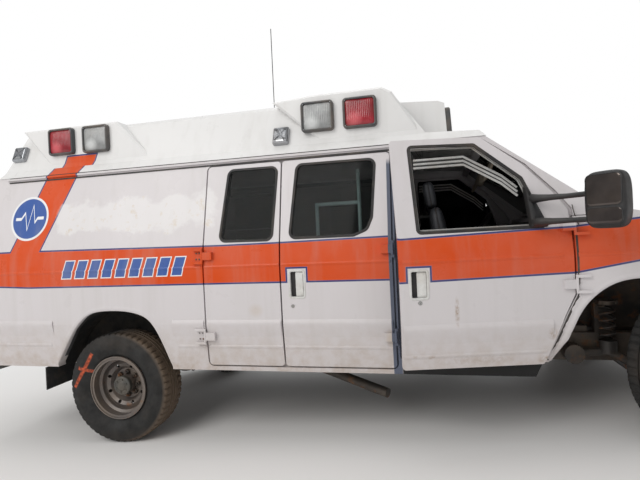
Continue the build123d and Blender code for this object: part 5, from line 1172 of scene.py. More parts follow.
def recess_handle(x0, x1, z0, z1, side):
    """A paddle handle in its pocket: a white frame, a black plate of painted shade for the opening at its
    rear, and a paddle that slopes in from its front edge along a quarter of a sine, with a small bead along
    its rear edge."""
    put = skin(side)
    frame_ring = moulding(rounded(box_outline(x0, x1, z0, z1), 14, 6), HANDLE_FRAME, put)
    wide, high = x1 - x0, z1 - z0
    u, v = np.linspace(0, 1, 18), np.linspace(0, 1, 22)
    rows = []
    for b in v:
        x = x0 + PADDLE_INSET + (wide - 2 * PADDLE_INSET) * (PADDLE_SHARE + (1 - PADDLE_SHARE) * u)
        z = np.full_like(x, z0 + PADDLE_INSET + (high - 2 * PADDLE_INSET) * b)
        slope = PADDLE_RISE * np.sin(0.5 * math.pi * u) ** 0.8
        bead = PADDLE_BEAD * np.exp(-((u - 0.06) / 0.05) ** 2)
        face = put(np.stack([x, z], -1), (1 - (2 * b - 1) ** 8) * (slope + bead) - PADDLE_DEPTH)
        rear = put(np.stack([x[[-1, 0]], z[[-1, 0]]], -1), -PADDLE_BACK)
        rows.append(np.concatenate([face, rear]))
    slot = rounded(box_outline(x0 + 6, x0 + 8 + wide * 0.34, z0 + 6, z1 - 6), 8, 4)
    paddle = sheet(rows, wrap_columns=True, caps=True)
    return [frame_ring], [paddle], [slab(slot, HANDLE_SLOT, put)]


def lock_barrel(x, z, side):
    """A round lock with a stepped rim, and a small black plate of painted shade for the key's opening across
    its face.
    """
    rows = [skin(side)(np.array([x, z]) + circle(36) * r, out) for r, out in LOCK]
    slot = slab(rounded(box_outline(x - 1.1, x + 1.1, z - 4, z + 4), 0.9, 2), KEYHOLE, skin(side))
    return [sheet(rows, wrap_columns=True, caps=True)], [slot]


def make_handles():
    """Paddle handles with their locks on the load door and the front doors, and the rear doors' grips."""
    white = plain("handle_white", (0.62, 0.62, 0.60), 0.42, dust=0.3)
    white_swung = plain("handle_white_ajar", (0.62, 0.62, 0.60), 0.42, dust=0.3, swing=True)
    black = plain("black_plastic_and_recess_shade", (0.008, 0.008, 0.009), 0.7, dust=0.1)
    steel = plain("lock_steel", (0.42, 0.42, 0.41), 0.35, dust=0.25, metallic=0.9)
    for name, box, lock, side, body, move in (
            ("load", LOAD_HANDLE, LOAD_LOCK, RIGHT, "door_side_front", None),
            ("front_right", DOOR_HANDLE, DOOR_LOCK, RIGHT, "door_front_right", ajar),
            ("front_left", DOOR_HANDLE, DOOR_LOCK, LEFT, "door_front_left", None)):
        ring, paddle, slot = recess_handle(*box, side)
        paint = white_swung if move else white
        piece("handle_frame_" + name, ring, paint, body, move=move)
        piece("handle_paddle_" + name, paddle, paint, body, move=move)
        barrel, key = lock_barrel(*lock, side)
        # Painted shade: the black plates in the pockets and across the locks stand for the dark of their
        # openings
        piece("handle_recess_shade_" + name, slot + key, black, body, move=move)
        piece("lock_" + name, barrel, steel, body, move=move)
    for side, name in SIDES:
        put = facing_back(REAR_FACE, side * REAR_HANDLE_Y, REAR_HANDLE_Z)
        tray = moulding(lamp_outline(62, 44, 10), REAR_TRAY, put)
        grip = strip(((-48, 0), (-20, 0), (20, 0), (48, 0)), REAR_GRIP, put)
        piece("rear_handle_" + name, [tray, grip], black, "door_rear_" + name)


MIRROR_MIDDLE = (1442.0, 1307, 1400)
MIRROR_HALF = (50, 95, 140)
MIRROR_TURN = 0.60
MIRROR_SAIL = ((1198, 1562), (1206, 1281), (1306, 1281))
SAIL_LEVELS = ((0, -8), (0, 18), (-5, 27), (-16, 31))
# A mirror's arm: X and the distance out from its root at each point, and its end
MIRROR_ARM = ((1236, -4), (1236, 30), (1250, 62), (1290, 96), (1360, 150))
ARM_END, ARM_HEIGHTS, ARM_RADII = (1425, 1235), (1310, 1440), (31, 27, 22, 17, 14, 14)
MIRROR_GLASS = ((-3, -4), (-3, 2.4), (-5, 3.0), (-18, 3.2))
MIRROR_RIM = ((1, -5), (1, 3), (-1.5, 4.6), (-3, 4.6), (-4.5, 2), (-4.5, -5))


def make_mirrors():
    """Towing mirrors: a sail in the window's corner, two arms that thicken into elbows at their roots, and
    a tall rounded head, a superellipsoid, with two glasses in its flat face."""
    silver = plain("mirror_silver", (0.10, 0.085, 0.08), 0.06, 0.5, 3.0, dust=0.08, metallic=1.0)
    for side, name in SIDES:
        body, move = "door_front_" + name, ajar if side == RIGHT else None
        black = plain("mirror_black_" + name, (0.011, 0.011, 0.012), 0.5, dust=0.05, swing=bool(move))
        middle = np.array(MIRROR_MIDDLE) * (1, side, 1)
        shell = [slab(rounded(MIRROR_SAIL, 10, 5), SAIL_LEVELS, skin(side))]
        for z in ARM_HEIGHTS:
            arm = [(x, side * (float(breadth(z)) + out), z) for x, out in MIRROR_ARM]
            shell.append(tube(arm + [(ARM_END[0], side * ARM_END[1], z)], ARM_RADII, 16))
        back = np.array([-math.cos(MIRROR_TURN), side * math.sin(MIRROR_TURN), 0])
        across = np.array([side * math.sin(MIRROR_TURN), math.cos(MIRROR_TURN), 0])
        shell += carried([cushion(MIRROR_HALF, 0.34, 0.04, rows=40)],
                         lambda p: middle - p[..., :1] * back + p[..., 1:2] * across + p[..., 2:] * (0, 0, 1))
        glasses, rims = [], []
        for z, high in ((46, 156), (-78, 82)):
            put = plane(middle + back * 47 + (0, 0, z), -across, (0, 0, 1))
            outline = lamp_outline(82, high / 2, 26)
            glasses.append(slab(outline, MIRROR_GLASS, put))
            rims.append(moulding(outline, MIRROR_RIM, put))
        piece("mirror_shell_" + name, shell + rims, black, body, ("mirror_" + name,), move)
        piece("mirror_glass_" + name, glasses, silver, body, move=move)


GRILLE_RIM = ((4, -14), (4, -2), (1, 2), (-6, 3), (-14, 1), (-20, -14))
GRILLE_BAR = ((-2.5, -24), (-2.5, -10), (0, -8), (2.5, -10), (2.5, -24))
PLATE = ((0, 0.5), (0, 3), (-1, 3.6), (-5, 3.6), (-7, 2.8))
WIPER_ARM = ((-7, 14), (-7, 19), (-3, 22), (3, 22), (7, 19), (7, 14))
WIPER_BLADE = ((-6, 2), (-6, 9), (-3, 14), (3, 14), (6, 9), (6, 2))
WIPER_PIVOT = ((2, -14), (2, 14), (0, 22), (-6, 24))
TREAD_BAR = ((-3.2, -1), (-2.2, 1.6), (0, 2.3), (2.2, 1.6), (3.2, -1))
STEP_TOP, TREAD_PITCH, TREAD_ROW, TREAD_HALF, TREAD_TURN = (-2646, 0, 435), 36, 26, 13, 0.7


def make_nose():
    """The grille's rim and mesh, blank plates, wipers and the tread of the rear step."""
    grey = plain("grille_rim", (0.085, 0.088, 0.092), 0.42, dust=0.35)
    plate_white = plain("blank_plate", (0.66, 0.66, 0.63), 0.4, dust=0.35)
    black = plain("wiper_black", (0.014, 0.014, 0.015), 0.5, dust=0.3)
    front = facing_front(2636, 0, 850)
    piece("grille_rim", [moulding(lamp_outline(560, 150, 14), GRILLE_RIM, front)], grey, "body")
    mesh = [strip(spread(((x, -138), (x, 138))), GRILLE_BAR, front) for x in range(-520, 521, 26)]
    piece("grille_mesh", mesh, black, "body")
    for name, body, put in (("front", "body", facing_front(2692, 0, 536)),
                            ("rear", "door_rear_right", facing_back(-2592, -370, 980))):
        piece("blank_plate_" + name, [slab(lamp_outline(152, 76, 10), PLATE, put)], plate_white, body)
    wipers = []
    for foot, tip in (((-560, -14), (-70, 210)), ((120, -14), (600, 210))):
        arm = spread((foot, ((foot[0] + tip[0]) / 2, 70), tip), 60)
        blade = spread(((tip[0] - 300, tip[1] - 120), (tip[0] + 140, tip[1] + 56)), 60)
        pivot = plane(WINDSCREEN_PLANE(np.array(foot, float), 0), (0, 1, 0), WINDSCREEN_UP)
        wipers += [strip(arm, WIPER_ARM, WINDSCREEN_PLANE), strip(blade, WIPER_BLADE, WINDSCREEN_PLANE),
                   slab(lamp_outline(16, 16, 15.9), WIPER_PIVOT, pivot)]
    piece("wipers", wipers, black, "body")
    metal = plain("tread_metal", (0.50, 0.50, 0.48), 0.35, dust=0.4, metallic=0.9)
    piece("step_tread", step_tread(), metal, "body")


def step_tread():
    """Short raised bars on the rear step, in three rows, each turned the other way from the next."""
    top, out = plane(STEP_TOP, (0, 1, 0), (-1, 0, 0)), []
    for i, y in enumerate(range(-900, 901, TREAD_PITCH)):
        for x in (-TREAD_ROW, 0, TREAD_ROW):
            turn = TREAD_TURN if (i + (x == 0)) % 2 else -TREAD_TURN
            a = np.array([math.cos(turn), math.sin(turn)]) * TREAD_HALF
            mid = np.array([y + (TREAD_PITCH / 2 if x == 0 else 0), x])
            out.append(strip((mid - a, mid - a * 0.4, mid + a * 0.4, mid + a), TREAD_BAR, top))
    return out


FILLER_LEVELS = ((0, -1), (0, 1.6), (-2, 2.8), (-9, 3.0), (-70, 4.0))
MARKER_LEVELS = ((0, -4), (0, 5), (-3, 9), (-12, 11))
HINGE_PLATES = ((-846, "body"), (-770, "door_side_rear"), (402, "door_side_front"))
WING_EDGE = ((1450, 1262), (1450, 906), (1389, 780), (1323, 624), (1279, 530))
TORN_EDGE = ((1458, 1020), (1456, 908), (1400, 780), (1334, 624), (1296, 546))
TORN_SECTION = ((-5, -3), (-5, 2.4), (-2, 4.2), (1, 1.4), (5, 2.6), (5, -3))
BENT_WIRE = ((1418, 1400), (1421, 1372), (1427, 1335), (1436, 1300), (1442, 1285))
ANTENNA_FOOT = ((0.1, 0), (34, 0), (34, 5), (30, 9), (25, 12), (25, 26), (21, 34), (12, 38), (0.1, 38))


def make_fittings():
    """Small things on the sides: filler door, side markers, hinge bolts, a black strip of painted shade along
    the gap behind the right wing, the crumpled flange by that gap, a bent wire and the foot of the antenna."""
    white = coachwork("filler_paint", livery=False)
    black = plain("fitting_black_and_gap_shade", (0.016, 0.016, 0.017), 0.5, dust=0.3)
    amber = lens_finish("amber_lens", (0.75, 0.24, 0.02))
    steel = rusty("bolt_steel", (0.16, 0.15, 0.14), 0.5, 0.45, 0.5)
    filler = slab(rounded(box_outline(-980, -820, 800, 960), 24, 8), FILLER_LEVELS, skin(LEFT))
    piece("filler_door", [filler], white, "body")
    markers = [slab(lamp_outline(42, 20, 9), MARKER_LEVELS, facing_side(2420, 985, 800, side))
               for side, _ in SIDES]
    piece("side_markers", markers, amber, "body")
    for x, body in HINGE_PLATES:
        bolts = [screw(skin(RIGHT), x + dx, z + dz, 1.5, 6) for z in (664, 1194) for dx in (-11, 11)
                 for dz in (-20, 20)]
        piece("hinge_bolts_%d" % abs(x), bolts, steel, body, sharp=30)
    # Painted shade: a black strip laid on the skin along the wing's rear edge makes the shaded gap look wider
    gap = strip(spread(WING_EDGE, 12), ((-6, -6), (-6, 0.8), (5, 0.8), (5, -6)), skin(RIGHT))
    piece("wing_gap_shade", [gap], black, "body")
    path = spread(TORN_EDGE, 7)
    height = path[:, 1]
    wave = 4.5 * np.sin(height / 17) + 2.5 * np.sin(height / 6.3)
    torn = strip(path + np.stack([wave, 0 * height], -1), TORN_SECTION, skin(RIGHT))
    piece("crumpled_flange", [torn], white, "body")
    x, z = np.array(BENT_WIRE, float).T
    wire = tube(np.stack([x + 22, -(breadth(z) + 12), z], -1), 2.6, 8)
    piece("bent_wire", [wire], black, "body")
    foot = lathe(ANTENNA_FOOT, (-490, -300, 2236), (0, 0, 1), 40)
    piece("antenna_foot", [foot], black, "body")


# Cab and load space
def leaned(origin, angle):
    """Carries a pad's own points: turned about Y by an angle in degrees, then moved to its place."""
    c, s = math.cos(math.radians(angle)), math.sin(math.radians(angle))
    turn = np.array([[c, 0, s], [0, 1, 0], [-s, 0, c]])
    return lambda p: np.asarray(p) @ turn.T + np.asarray(origin, float)


SEAT_Y = 470
# Pads of a cab seat: half sizes, X, Z, lean in degrees and the Y of each channel
CAB_PADS = (("seat_cushion_", (244, 226, 64), 930, 946, 0, (-120, -40, 40, 120)),
            ("seat_back_", (284, 236, 56), 742, 1166, -98, (-110, 0, 110)),
            ("head_rest_", (88, 136, 42), 672, 1536, -98, ()))


BENCH_PADS = (("rear", -2113), ("middle", -1620), ("front", -1127))
BENCH_HALF, BENCH_PLACE = (244, 196, 44), (-680, 1046)


def make_seats(settings):
    """Two cab seats and the squad bench in dark vinyl: crowned pads with channels and a corded seam."""
    vinyl = seat_vinyl("seat_vinyl", (0.040, 0.042, 0.048))
    cord = plain("seat_piping", (0.022, 0.022, 0.025), 0.5, dust=0.15)
    pads = []
    for side, name in SIDES:
        for kind, half, x, z, lean, channels in CAB_PADS:
            pads.append((kind + name, half, (x, side * SEAT_Y, z), lean, channels, "cab_seats"))
    for name, x in BENCH_PADS:
        pads.append(("bench_pad_" + name, BENCH_HALF, (x, *BENCH_PLACE), 0, (-90, 0, 90), "bench_cushion"))
    seams = {"cab_seats": [], "bench_cushion": []}
    for name, half, at, lean, channels, node in pads:
        carry = leaned(at, lean)
        pad = carried([cushion(half, crown=settings.fullness, channels=channels)], carry)
        piece(name, pad, vinyl, "body", (node,), sharp=60)
        seams[node] += carried([piping(half)], carry)
    piece("seat_seams", seams["cab_seats"], cord, "body", sharp=60)
    piece("bench_seams", seams["bench_cushion"], cord, "body", sharp=60)


WHEEL_MIDDLE, WHEEL_RADIUS, WHEEL_TILT = (1085.0, 470.0, 1268.0), 176, math.radians(32)
SPOKE = ((44, 22), (80, 18), (130, 8), (168, 1))
HORN_PAD = ((0.1, -34), (46, -34), (58, -26), (60, -12), (52, -2), (30, 2), (0.1, 3))
COLUMN = ((36, -150), (40, -140), (40, -40), (30, -34))
DASH_UP = (0.15, 0, 0.98)
DIAL_HOOD = ((6, -8), (6, 18), (0, 26), (-8, 20), (-12, 4), (-12, -8))
DIAL_RIM = ((0, -2), (0, 7), (-3, 9), (-5, 6), (-5, -2))
KNOB = ((0, -4), (0, 10), (-3, 14), (-8, 15))
BLIND_X, BLIND_Z = (-745, 380), (1262, 1796)
BLIND_SLAT = ((-15, -75), (-15, -65), (15, -65), (15, -70))
# Pads under the header: name, Y, lean in degrees and half sizes
HEADER_PADS = (("sun_visor_right", -420, 24, (11, 150, 78)), ("map_pocket", 60, 12, (26, 90, 60)),
               ("sun_visor_left", 430, 24, (11, 150, 78)))


GEAR_LEVER = ((1010, 70, 930), (1004, 70, 1000), (985, 68, 1080), (972, 66, 1120))
GEAR_KNOB = ((0.1, -26), (14, -24), (22, -10), (23, 4), (17, 18), (0.1, 24))


def steering_wheel():
    """The rim, whose thickness follows a cosine for its finger grips, three spokes, the horn pad and the
    top of the column, on a tilted axis."""
    axis = np.array([-math.cos(WHEEL_TILT), 0, math.sin(WHEEL_TILT)])
    aside, up = np.array([0, 1, 0]), np.array([math.sin(WHEEL_TILT), 0, math.cos(WHEEL_TILT)])
    centre = np.array(WHEEL_MIDDLE)
    ring = centre + WHEEL_RADIUS * (circle(72) @ np.stack([aside, up]))
    wheel = [tube(ring, 13 + 1.2 * np.cos(18 * around(72)), 14, closed=True)]
    for angle in (200, 340, 90):
        a = math.radians(angle)
        arm = math.cos(a) * aside + math.sin(a) * up
        wheel.append(tube([centre + arm * r - axis * depth for r, depth in SPOKE], (13, 11, 9, 9), 10))
    return wheel + [lathe(HORN_PAD, centre, axis, 48), lathe(COLUMN, centre, axis, 32)]


def make_cab():
    """Steering wheel, hooded dials, knobs, the blind behind the left windows, two sun visors with a map
    pocket between them, and the gear lever."""
    dark = plain("cab_plastic", (0.035, 0.036, 0.04), 0.55, dust=0.3)
    pale = plain("dial_grey", (0.30, 0.31, 0.31), 0.4, dust=0.3)
    piece("steering_wheel_rim", steering_wheel(), dark, "body", ("steering_wheel",), sharp=50)
    face = plane((1206, 470, 1225), (0, -1, 0), DASH_UP)
    dials = [moulding(lamp_outline(190, 56, 30), DIAL_HOOD, face)]
    dials += [moulding(lamp_outline(30, 30, 29.9) + (x, 0), DIAL_RIM, face) for x in (-110, -20, 70, 135)]
    piece("dial_hood", dials, dark, "body")
    middle = plane((1207, 60, 1200), (0, -1, 0), DASH_UP)
    knobs = [slab(lamp_outline(14, 14, 13.9) + (x, z), KNOB, middle)
             for z in (-30, 22) for x in (-90, -45, 0, 45, 90)]
    piece("dash_knobs", knobs, pale, "body")
    blind = [slab(box_outline(*BLIND_X, *BLIND_Z), ((0, -66), (0, -61)), skin(LEFT))]
    blind += [level_bar(BLIND_X[0] + 3, BLIND_X[1] - 3, z, BLIND_SLAT, LEFT) for z in range(1284, 1790, 36)]
    piece("window_blind_left", blind, plain("blind_grey", (0.19, 0.19, 0.18), 0.5), "body")
    beige = plain("visor_beige", (0.42, 0.36, 0.28), 0.7, dust=0.2)
    for name, y, lean, half in HEADER_PADS:
        pad = carried([cushion(half, 0.4, 0.05)], leaned((1075, y, 1690), lean))
        piece(name, pad, beige, "body", sharp=60)
    lever = [tube(GEAR_LEVER, (9, 8, 7, 7), 12), lathe(GEAR_KNOB, (968, 66, 1132), (-0.3, 0, 1), 28)]
    piece("gear_lever", lever, dark, "body")


CARD_OUTLINE = ((500, 660), (1190, 660), (1262, 800), (1320, 930), (1320, 1215), (500, 1215))
CARD_LEVELS = ((-4, -72), (0, -74), (0, -82), (-6, -86), (-26, -87), (-40, -84))
ARM_REST = ((-28, -84), (-28, -120), (-18, -132), (18, -132), (28, -120), (28, -84))
GRAB_HANDLE = ((700, 1090, -86), (712, 1092, -118), (760, 1096, -126), (840, 1100, -118), (852, 1100, -86))
SPEAKER_BAR = ((-3, -84), (-2, -89), (2, -89), (3, -84))


def make_door_liners():
    """The inner faces of the front doors: a moulded card with an arm rest, a grab handle and a speaker."""
    card_grey = plain("door_card", (0.13, 0.125, 0.115), 0.6, dust=0.35)
    for side, name in SIDES:
        put = skin(side)
        liner = [slab(rounded(CARD_OUTLINE, 40, 6), CARD_LEVELS, put),
                 strip(spread(((640, 960), (1120, 975))), ARM_REST, put),
                 tube([put(np.array((x, z), float), out) for x, z, out in GRAB_HANDLE], 8, 10)]
        liner += [level_bar(1120, 1250, z, SPEAKER_BAR, side, 30) for z in range(700, 821, 12)]
        piece("door_card_" + name, liner, card_grey, "door_front_" + name,
              move=ajar if side == RIGHT else None)


# Settings and operators
STRIPED_NODES = ("body_side_right", "body_side_left", "rear_frame", "cab_shell", "door_side_rear",
                 "door_side_front", "wings")


WHITE_NODES = ("hood", "front_panel", "door_rear_right", "door_rear_left")
LEAF_GLASS = ("glass_side_front", "glass_side_rear")
FAR_GLASS = ("fixed_glass", "glass_front_left", "glass_rear_right", "glass_rear_left")
DARK_NODES = ("grille", "seat_bases", "dashboard", "engine_cover", "fuel_tank")
RUSTY_NODES = ("chassis_frame", "rear_axle", "springs", "front_beams", "engine_and_shaft", "exhaust",
               "knuckle_right", "knuckle_left", "radiator")


def node_finish(nodes, material):
    """Gives CAD nodes a finish."""
    for name in nodes:
        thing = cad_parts[name]
        thing.data.materials.clear()
        thing.data.materials.append(material)


class AmbulanceStage(bpy.types.PropertyGroup):
    """Floor and light"""
    floor_color: bpy.props.FloatVectorProperty(
        name="Floor", description="Colour of the floor", subtype="COLOR", default=(0.80, 0.79, 0.78),
        min=0, max=1)
    key_power: bpy.props.FloatProperty(
        name="Key light", description="Power of the large lamp", default=405.0, min=0.0, unit="POWER")
    sky_level: bpy.props.FloatProperty(
        name="Sky", description="Level of the light from all round", default=0.52, min=0.0)


class AmbulancePaint(bpy.types.PropertyGroup):
    """Colours of the body"""
    white: bpy.props.FloatVectorProperty(
        name="White", description="Colour of the body paint", subtype="COLOR", default=WHITE, min=0, max=1)
    roof: bpy.props.FloatVectorProperty(
        name="Roof", description="Colour of the moulded roof", subtype="COLOR", default=(0.72, 0.715, 0.71),
        min=0, max=1)


class AmbulanceGlass(bpy.types.PropertyGroup):
    """Windows and their rubbers"""
    tint: bpy.props.FloatVectorProperty(
        name="Tint", description="Colour of the tinted glass", subtype="COLOR",
        default=(0.006, 0.0075, 0.0075), min=0, max=1)
    opacity: bpy.props.FloatProperty(
        name="Opacity", description="How much the glass of the side doors hides", default=0.32, min=0.0,
        max=1.0, subtype="FACTOR")
    far_opacity: bpy.props.FloatProperty(
        name="Far opacity", description="The same for every other window", default=1.0, min=0.0, max=1.0,
        subtype="FACTOR")
    seal_scale: bpy.props.FloatProperty(
        name="Seal", description="Width of the window rubbers, as a share", default=1.0, min=0.5, max=2.0)


class AmbulanceTrim(bpy.types.PropertyGroup):
    """Outside trim"""
    crease_height: bpy.props.FloatProperty(
        name="Pressing", description="Height of the lines pressed in the sides", default=0.0046, min=0.001,
        max=0.006, unit="LENGTH", precision=4)


class AmbulanceLamps(bpy.types.PropertyGroup):
    """Lamps"""
    lens_dome: bpy.props.FloatProperty(
        name="Dome", description="How far a roof lamp's lens swells", default=0.010, min=0.0, max=0.02,
        unit="LENGTH", precision=3)


class AmbulanceWheels(bpy.types.PropertyGroup):
    """Tyres"""
    groove_depth: bpy.props.FloatProperty(
        name="Groove", description="Depth of the tread's grooves", default=0.009, min=0.001, max=0.014,
        unit="LENGTH", precision=3)
    tread_steps: bpy.props.IntProperty(
        name="Steps", description="Points round a tyre, four to each block", default=208, min=48, max=320)


class AmbulanceCab(bpy.types.PropertyGroup):
    """Seats"""
    fullness: bpy.props.FloatProperty(
        name="Crown", description="How far the pads fall away from their middle", default=0.26, min=0.0,
        max=0.6, subtype="FACTOR")


class AMBULANCE_OT_stage(bpy.types.Operator):
    """Make the camera, the floor, the lamps and the sky"""
    bl_idname = "ambulance.stage"
    bl_label = "Stage"

    def execute(self, context):
        settings = context.scene.ambulance_stage
        make_camera(context.scene)
        make_floor(settings)
        make_lights(context.scene, settings)
        context.scene.view_settings.view_transform = "Standard"
        return {"FINISHED"}


PHOTO_WIDTH, FOCAL_PIXELS, SENSOR = 640, 464.2, 36.0
CAMERA_PLACE, CAMERA_TURNS = (660.6, -3811.0, 1276.9), (13.3, -0.22, -2.68)


def make_camera(scene):
    """The photograph's camera: its yaw, pitch and roll were solved in the drawing frame, and it is set
    down with the body."""
    yaw, pitch, roll = (math.radians(turn) for turn in CAMERA_TURNS)
    ahead = np.array([-math.sin(yaw) * math.cos(pitch), math.cos(yaw) * math.cos(pitch), math.sin(pitch)])
    right = np.array([math.cos(yaw), math.sin(yaw), 0.0])
    up = np.cross(right, ahead)
    across = math.cos(roll) * right + math.sin(roll) * up
    upright = -math.sin(roll) * right + math.cos(roll) * up
    turn = np.array([[COS, 0, SIN], [0, 1, 0], [-SIN, 0, COS]])
    axes = np.stack([turn @ across, turn @ upright, -(turn @ ahead)], 1)
    data = bpy.data.cameras.new("camera")
    data.lens, data.sensor_width, data.sensor_fit = FOCAL_PIXELS / PHOTO_WIDTH * SENSOR, SENSOR, "HORIZONTAL"
    data.clip_start, data.clip_end = 0.05, 100
    camera = bpy.data.objects.new("camera", data)
    world = np.eye(4)
    world[:3, :3], world[:3, 3] = axes, place(CAMERA_PLACE)
    camera.matrix_world = Matrix(world.tolist())
    scene.collection.objects.link(camera)
    scene.camera = camera


FLOOR_HALF, FLOOR_DROP = 30, 0.001
# Metres from the middle at which the floor begins to turn white, and is white
FADE_START, FADE_END = 3.2, 9.0


def make_floor(settings):
    """A wide pale floor that takes the shadow and turns white far out."""
    t = np.linspace(-FLOOR_HALF, FLOOR_HALF, 3)
    x, y = np.meshgrid(t, t, indexing="ij")
    verts = np.stack([x, y, np.full_like(x, -FLOOR_DROP)], -1).reshape(-1, 3)
    mesh = bpy.data.meshes.new("floor")
    mesh.from_pydata(verts.tolist(), [], grid_faces(3, 3, False, False)[:, ::-1].tolist())
    floor = bpy.data.objects.new("floor", mesh)
    bpy.context.scene.collection.objects.link(floor)
    material = bpy.data.materials.new("floor")
    material.use_nodes = True
    shader = material.node_tree.nodes["Principled BSDF"]
    shader.inputs["Base Color"].default_value = (*settings.floor_color, 1)
    shader.inputs["Roughness"].default_value = 0.9
    shader.inputs["Specular IOR Level"].default_value = 0.1
    fade_floor(material.node_tree, shader)
    mesh.materials.append(material)


def fade_floor(tree, shader):
    """The floor turns to plain white light far from the middle, so that it has no horizon."""
    new, link = tree.nodes.new, tree.links.new
    where, length = new("ShaderNodeTexCoord"), new("ShaderNodeVectorMath")
    length.operation = "LENGTH"
    link(where.outputs["Object"], length.inputs[0])
    far = new("ShaderNodeMapRange")
    far.interpolation_type = "SMOOTHSTEP"
    link(length.outputs["Value"], far.inputs[0])
    far.inputs[1].default_value, far.inputs[2].default_value = FADE_START, FADE_END
    glow, mixed = new("ShaderNodeEmission"), new("ShaderNodeMixShader")
    link(far.outputs[0], mixed.inputs[0])
    link(shader.outputs[0], mixed.inputs[1])
    link(glow.outputs[0], mixed.inputs[2])
    link(mixed.outputs[0], tree.nodes["Material Output"].inputs[0])


# Lamps of the stage: share of the key's power, size, place, what they face, and tint
LIGHTS = {
    "key": (1.0, 6.0, (-3.5, -7.5, 6.5), (0, 0, 1.1), (1.0, 0.985, 0.96)),
    "top": (0.55, 7.0, (0.5, 1.0, 8.5), (0, 0, 0), (1, 1, 1)),
    "far": (0.5, 6.0, (4.0, 7.5, 5.0), (0, 0, 1.2), (0.95, 0.98, 1.0)),
}


def make_lights(scene, settings):
    """Three large lamps, and a sky that is white to the camera and through glass but dimmer as a light."""
    for name, (share, size, where, target, tint) in LIGHTS.items():
        data = bpy.data.lights.new(name, "AREA")
        data.energy, data.size, data.color = settings.key_power * share, size, tint
        thing = bpy.data.objects.new(name, data)
        thing.location = where
        thing.rotation_euler = (Vector(target) - Vector(where)).to_track_quat("-Z", "Y").to_euler()
        scene.collection.objects.link(thing)
    world = bpy.data.worlds.new("sky")
    scene.world = world
    world.use_nodes = True
    tree = world.node_tree
    back = tree.nodes["Background"]
    path = tree.nodes.new("ShaderNodeLightPath")
    seen = tree.nodes.new("ShaderNodeMath")
    seen.operation, seen.use_clamp = "ADD", True
    tree.links.new(path.outputs["Is Camera Ray"], seen.inputs[0])
    tree.links.new(path.outputs["Is Transmission Ray"], seen.inputs[1])
    level = tree.nodes.new("ShaderNodeMapRange")
    tree.links.new(seen.outputs[0], level.inputs[0])
    level.inputs[3].default_value, level.inputs[4].default_value = settings.sky_level, 1.0
    tree.links.new(level.outputs[0], back.inputs["Strength"])
    back.inputs["Color"].default_value = (1, 1, 1, 1)


class AMBULANCE_OT_paint(bpy.types.Operator):
    """Give each CAD node its paint or other finish"""
    bl_idname = "ambulance.paint"
    bl_label = "Paint"

    def execute(self, context):
        paint, glass = context.scene.ambulance_paint, context.scene.ambulance_glass
        white, tint = tuple(paint.white), tuple(glass.tint)
        node_finish(STRIPED_NODES, coachwork("coachwork", handle=LOAD_HANDLE_GAP, base=white))
        for name, swing, door in (("left_door", False, "left"), ("ajar", True, "right")):
            finish = coachwork("coachwork_" + name, swing, handle=DOOR_HANDLE_GAP, base=white)
            node_finish(("door_front_" + door,), finish)
        node_finish(WHITE_NODES, coachwork("coachwork_white", livery=False, base=white))
        node_finish(("raised_roof",), coachwork("gelcoat", base=tuple(paint.roof)))
        node_finish(LEAF_GLASS, tinted_glass("tinted_glass", tint, glass.opacity))
        node_finish(FAR_GLASS, tinted_glass("dark_glass", tint, glass.far_opacity))
        node_finish(("antenna", "mud_flaps"), plain("black_rubber", (0.018, 0.018, 0.019), 0.62))
        node_finish(DARK_NODES, plain("dark_plastic", (0.045, 0.046, 0.05), 0.55, bump=0.0003))
        node_finish(("front_bumper",),
                    plain("grey_plastic", (0.20, 0.205, 0.21), 0.55, dust=0.4, bump=0.0003))
        node_finish(("rear_bumper",), plain("tread_plate", (0.42, 0.42, 0.41), 0.42, dust=0.45, metallic=0.9))
        node_finish(RUSTY_NODES, rusty("rusty_steel", (0.065, 0.06, 0.056), share=0.25))
        node_finish(("floor_pan",), plain("underseal", UNDERSEAL_AND_SHADE, 0.85, dust=0.12))
        # Painted shade: the pale cabinets are made dark grey, as they look in the dim load space
        node_finish(("cabinets",), plain("laminate", (0.19, 0.19, 0.175), 0.4))
        node_finish(("grab_frame",), plain("teal_tube", (0.62, 0.88, 0.85), 0.4, dust=0.05))
        node_finish(("headlamps",), lens_finish("head_lamp_lens", (0.50, 0.52, 0.52)))
        node_finish([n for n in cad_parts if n.startswith("wheel_")],
                    rusty("wheel_steel", (0.14, 0.122, 0.112), 0.5, 0.12, 0.35))
        return {"FINISHED"}


class AMBULANCE_OT_wheels(bpy.types.Operator):
    """Make the tyres, wheel nuts, hub caps and valves"""
    bl_idname = "ambulance.wheels"
    bl_label = "Wheels"

    def execute(self, context):
        make_wheels(context.scene.ambulance_wheels)
        return {"FINISHED"}


class AMBULANCE_OT_glazing(bpy.types.Operator):
    """Make the rubbers round the windows and the channels, wipes and bands of the open one"""
    bl_idname = "ambulance.glazing"
    bl_label = "Window rubbers"

    def execute(self, context):
        make_glazing(context.scene.ambulance_glass)
        return {"FINISHED"}


class AMBULANCE_OT_lamps(bpy.types.Operator):
    """Make the roof, load, tail and head lamps"""
    bl_idname = "ambulance.lamps"
    bl_label = "Lamps"

    def execute(self, context):
        make_lamps(context.scene.ambulance_lamps)
        return {"FINISHED"}


class AMBULANCE_OT_trim(bpy.types.Operator):
    """Make the gutter lines, arch lips, pressings, handles, locks, mirrors, nose trim and fittings"""
    bl_idname = "ambulance.trim"
    bl_label = "Outside trim"

    def execute(self, context):
        make_mouldings(context.scene.ambulance_trim)
        make_handles()
        make_mirrors()
        make_nose()
        make_fittings()
        return {"FINISHED"}


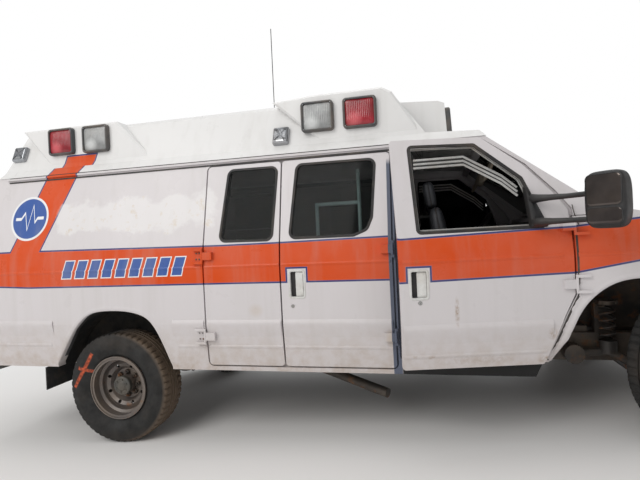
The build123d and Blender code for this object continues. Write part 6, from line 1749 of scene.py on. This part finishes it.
class AMBULANCE_OT_cab(bpy.types.Operator):
    """Make the seats, bench pads, steering wheel, dials, blind, visors, gear lever and door cards"""
    bl_idname = "ambulance.cab"
    bl_label = "Cab and bench"

    def execute(self, context):
        make_seats(context.scene.ambulance_cab)
        make_cab()
        make_door_liners()
        return {"FINISHED"}


class AMBULANCE_PT_panel(bpy.types.Panel):
    """The ambulance's operators and their settings"""
    bl_idname = "AMBULANCE_PT_panel"
    bl_label = "Ambulance"
    bl_space_type = "VIEW_3D"
    bl_region_type = "UI"
    bl_category = "Ambulance"

    def draw(self, context):
        for group, (_, operator) in GROUPS.items():
            box = self.layout.box()
            box.operator(operator.bl_idname)
            settings = getattr(context.scene, "ambulance_" + group)
            for key in settings.__annotations__:
                box.prop(settings, key)


# Each group of settings with its operator, in the order in which they run
GROUPS = {
    "stage": (AmbulanceStage, AMBULANCE_OT_stage),
    "paint": (AmbulancePaint, AMBULANCE_OT_paint),
    "wheels": (AmbulanceWheels, AMBULANCE_OT_wheels),
    "glass": (AmbulanceGlass, AMBULANCE_OT_glazing),
    "lamps": (AmbulanceLamps, AMBULANCE_OT_lamps),
    "trim": (AmbulanceTrim, AMBULANCE_OT_trim),
    "cab": (AmbulanceCab, AMBULANCE_OT_cab),
}
CLASSES = [settings for settings, _ in GROUPS.values()] + [kind for _, kind in GROUPS.values()]
CLASSES.append(AMBULANCE_PT_panel)


def register():
    """Registers the classes and gives the scene one group of settings for each operator."""
    for cls in CLASSES:
        bpy.utils.register_class(cls)
    for name, (settings, _) in GROUPS.items():
        setattr(bpy.types.Scene, "ambulance_" + name, bpy.props.PointerProperty(type=settings))


def unregister():
    """Takes the settings and the classes away again."""
    for name in GROUPS:
        delattr(bpy.types.Scene, "ambulance_" + name)
    for cls in reversed(CLASSES):
        bpy.utils.unregister_class(cls)


def main():
    """Registers the classes, then builds the stage and every piece."""
    register()
    bpy.ops.ambulance.stage()
    bpy.ops.ambulance.paint()
    bpy.ops.ambulance.wheels()
    bpy.ops.ambulance.glazing()
    bpy.ops.ambulance.lamps()
    bpy.ops.ambulance.trim()
    bpy.ops.ambulance.cab()


if __name__ == "__main__":
    main()
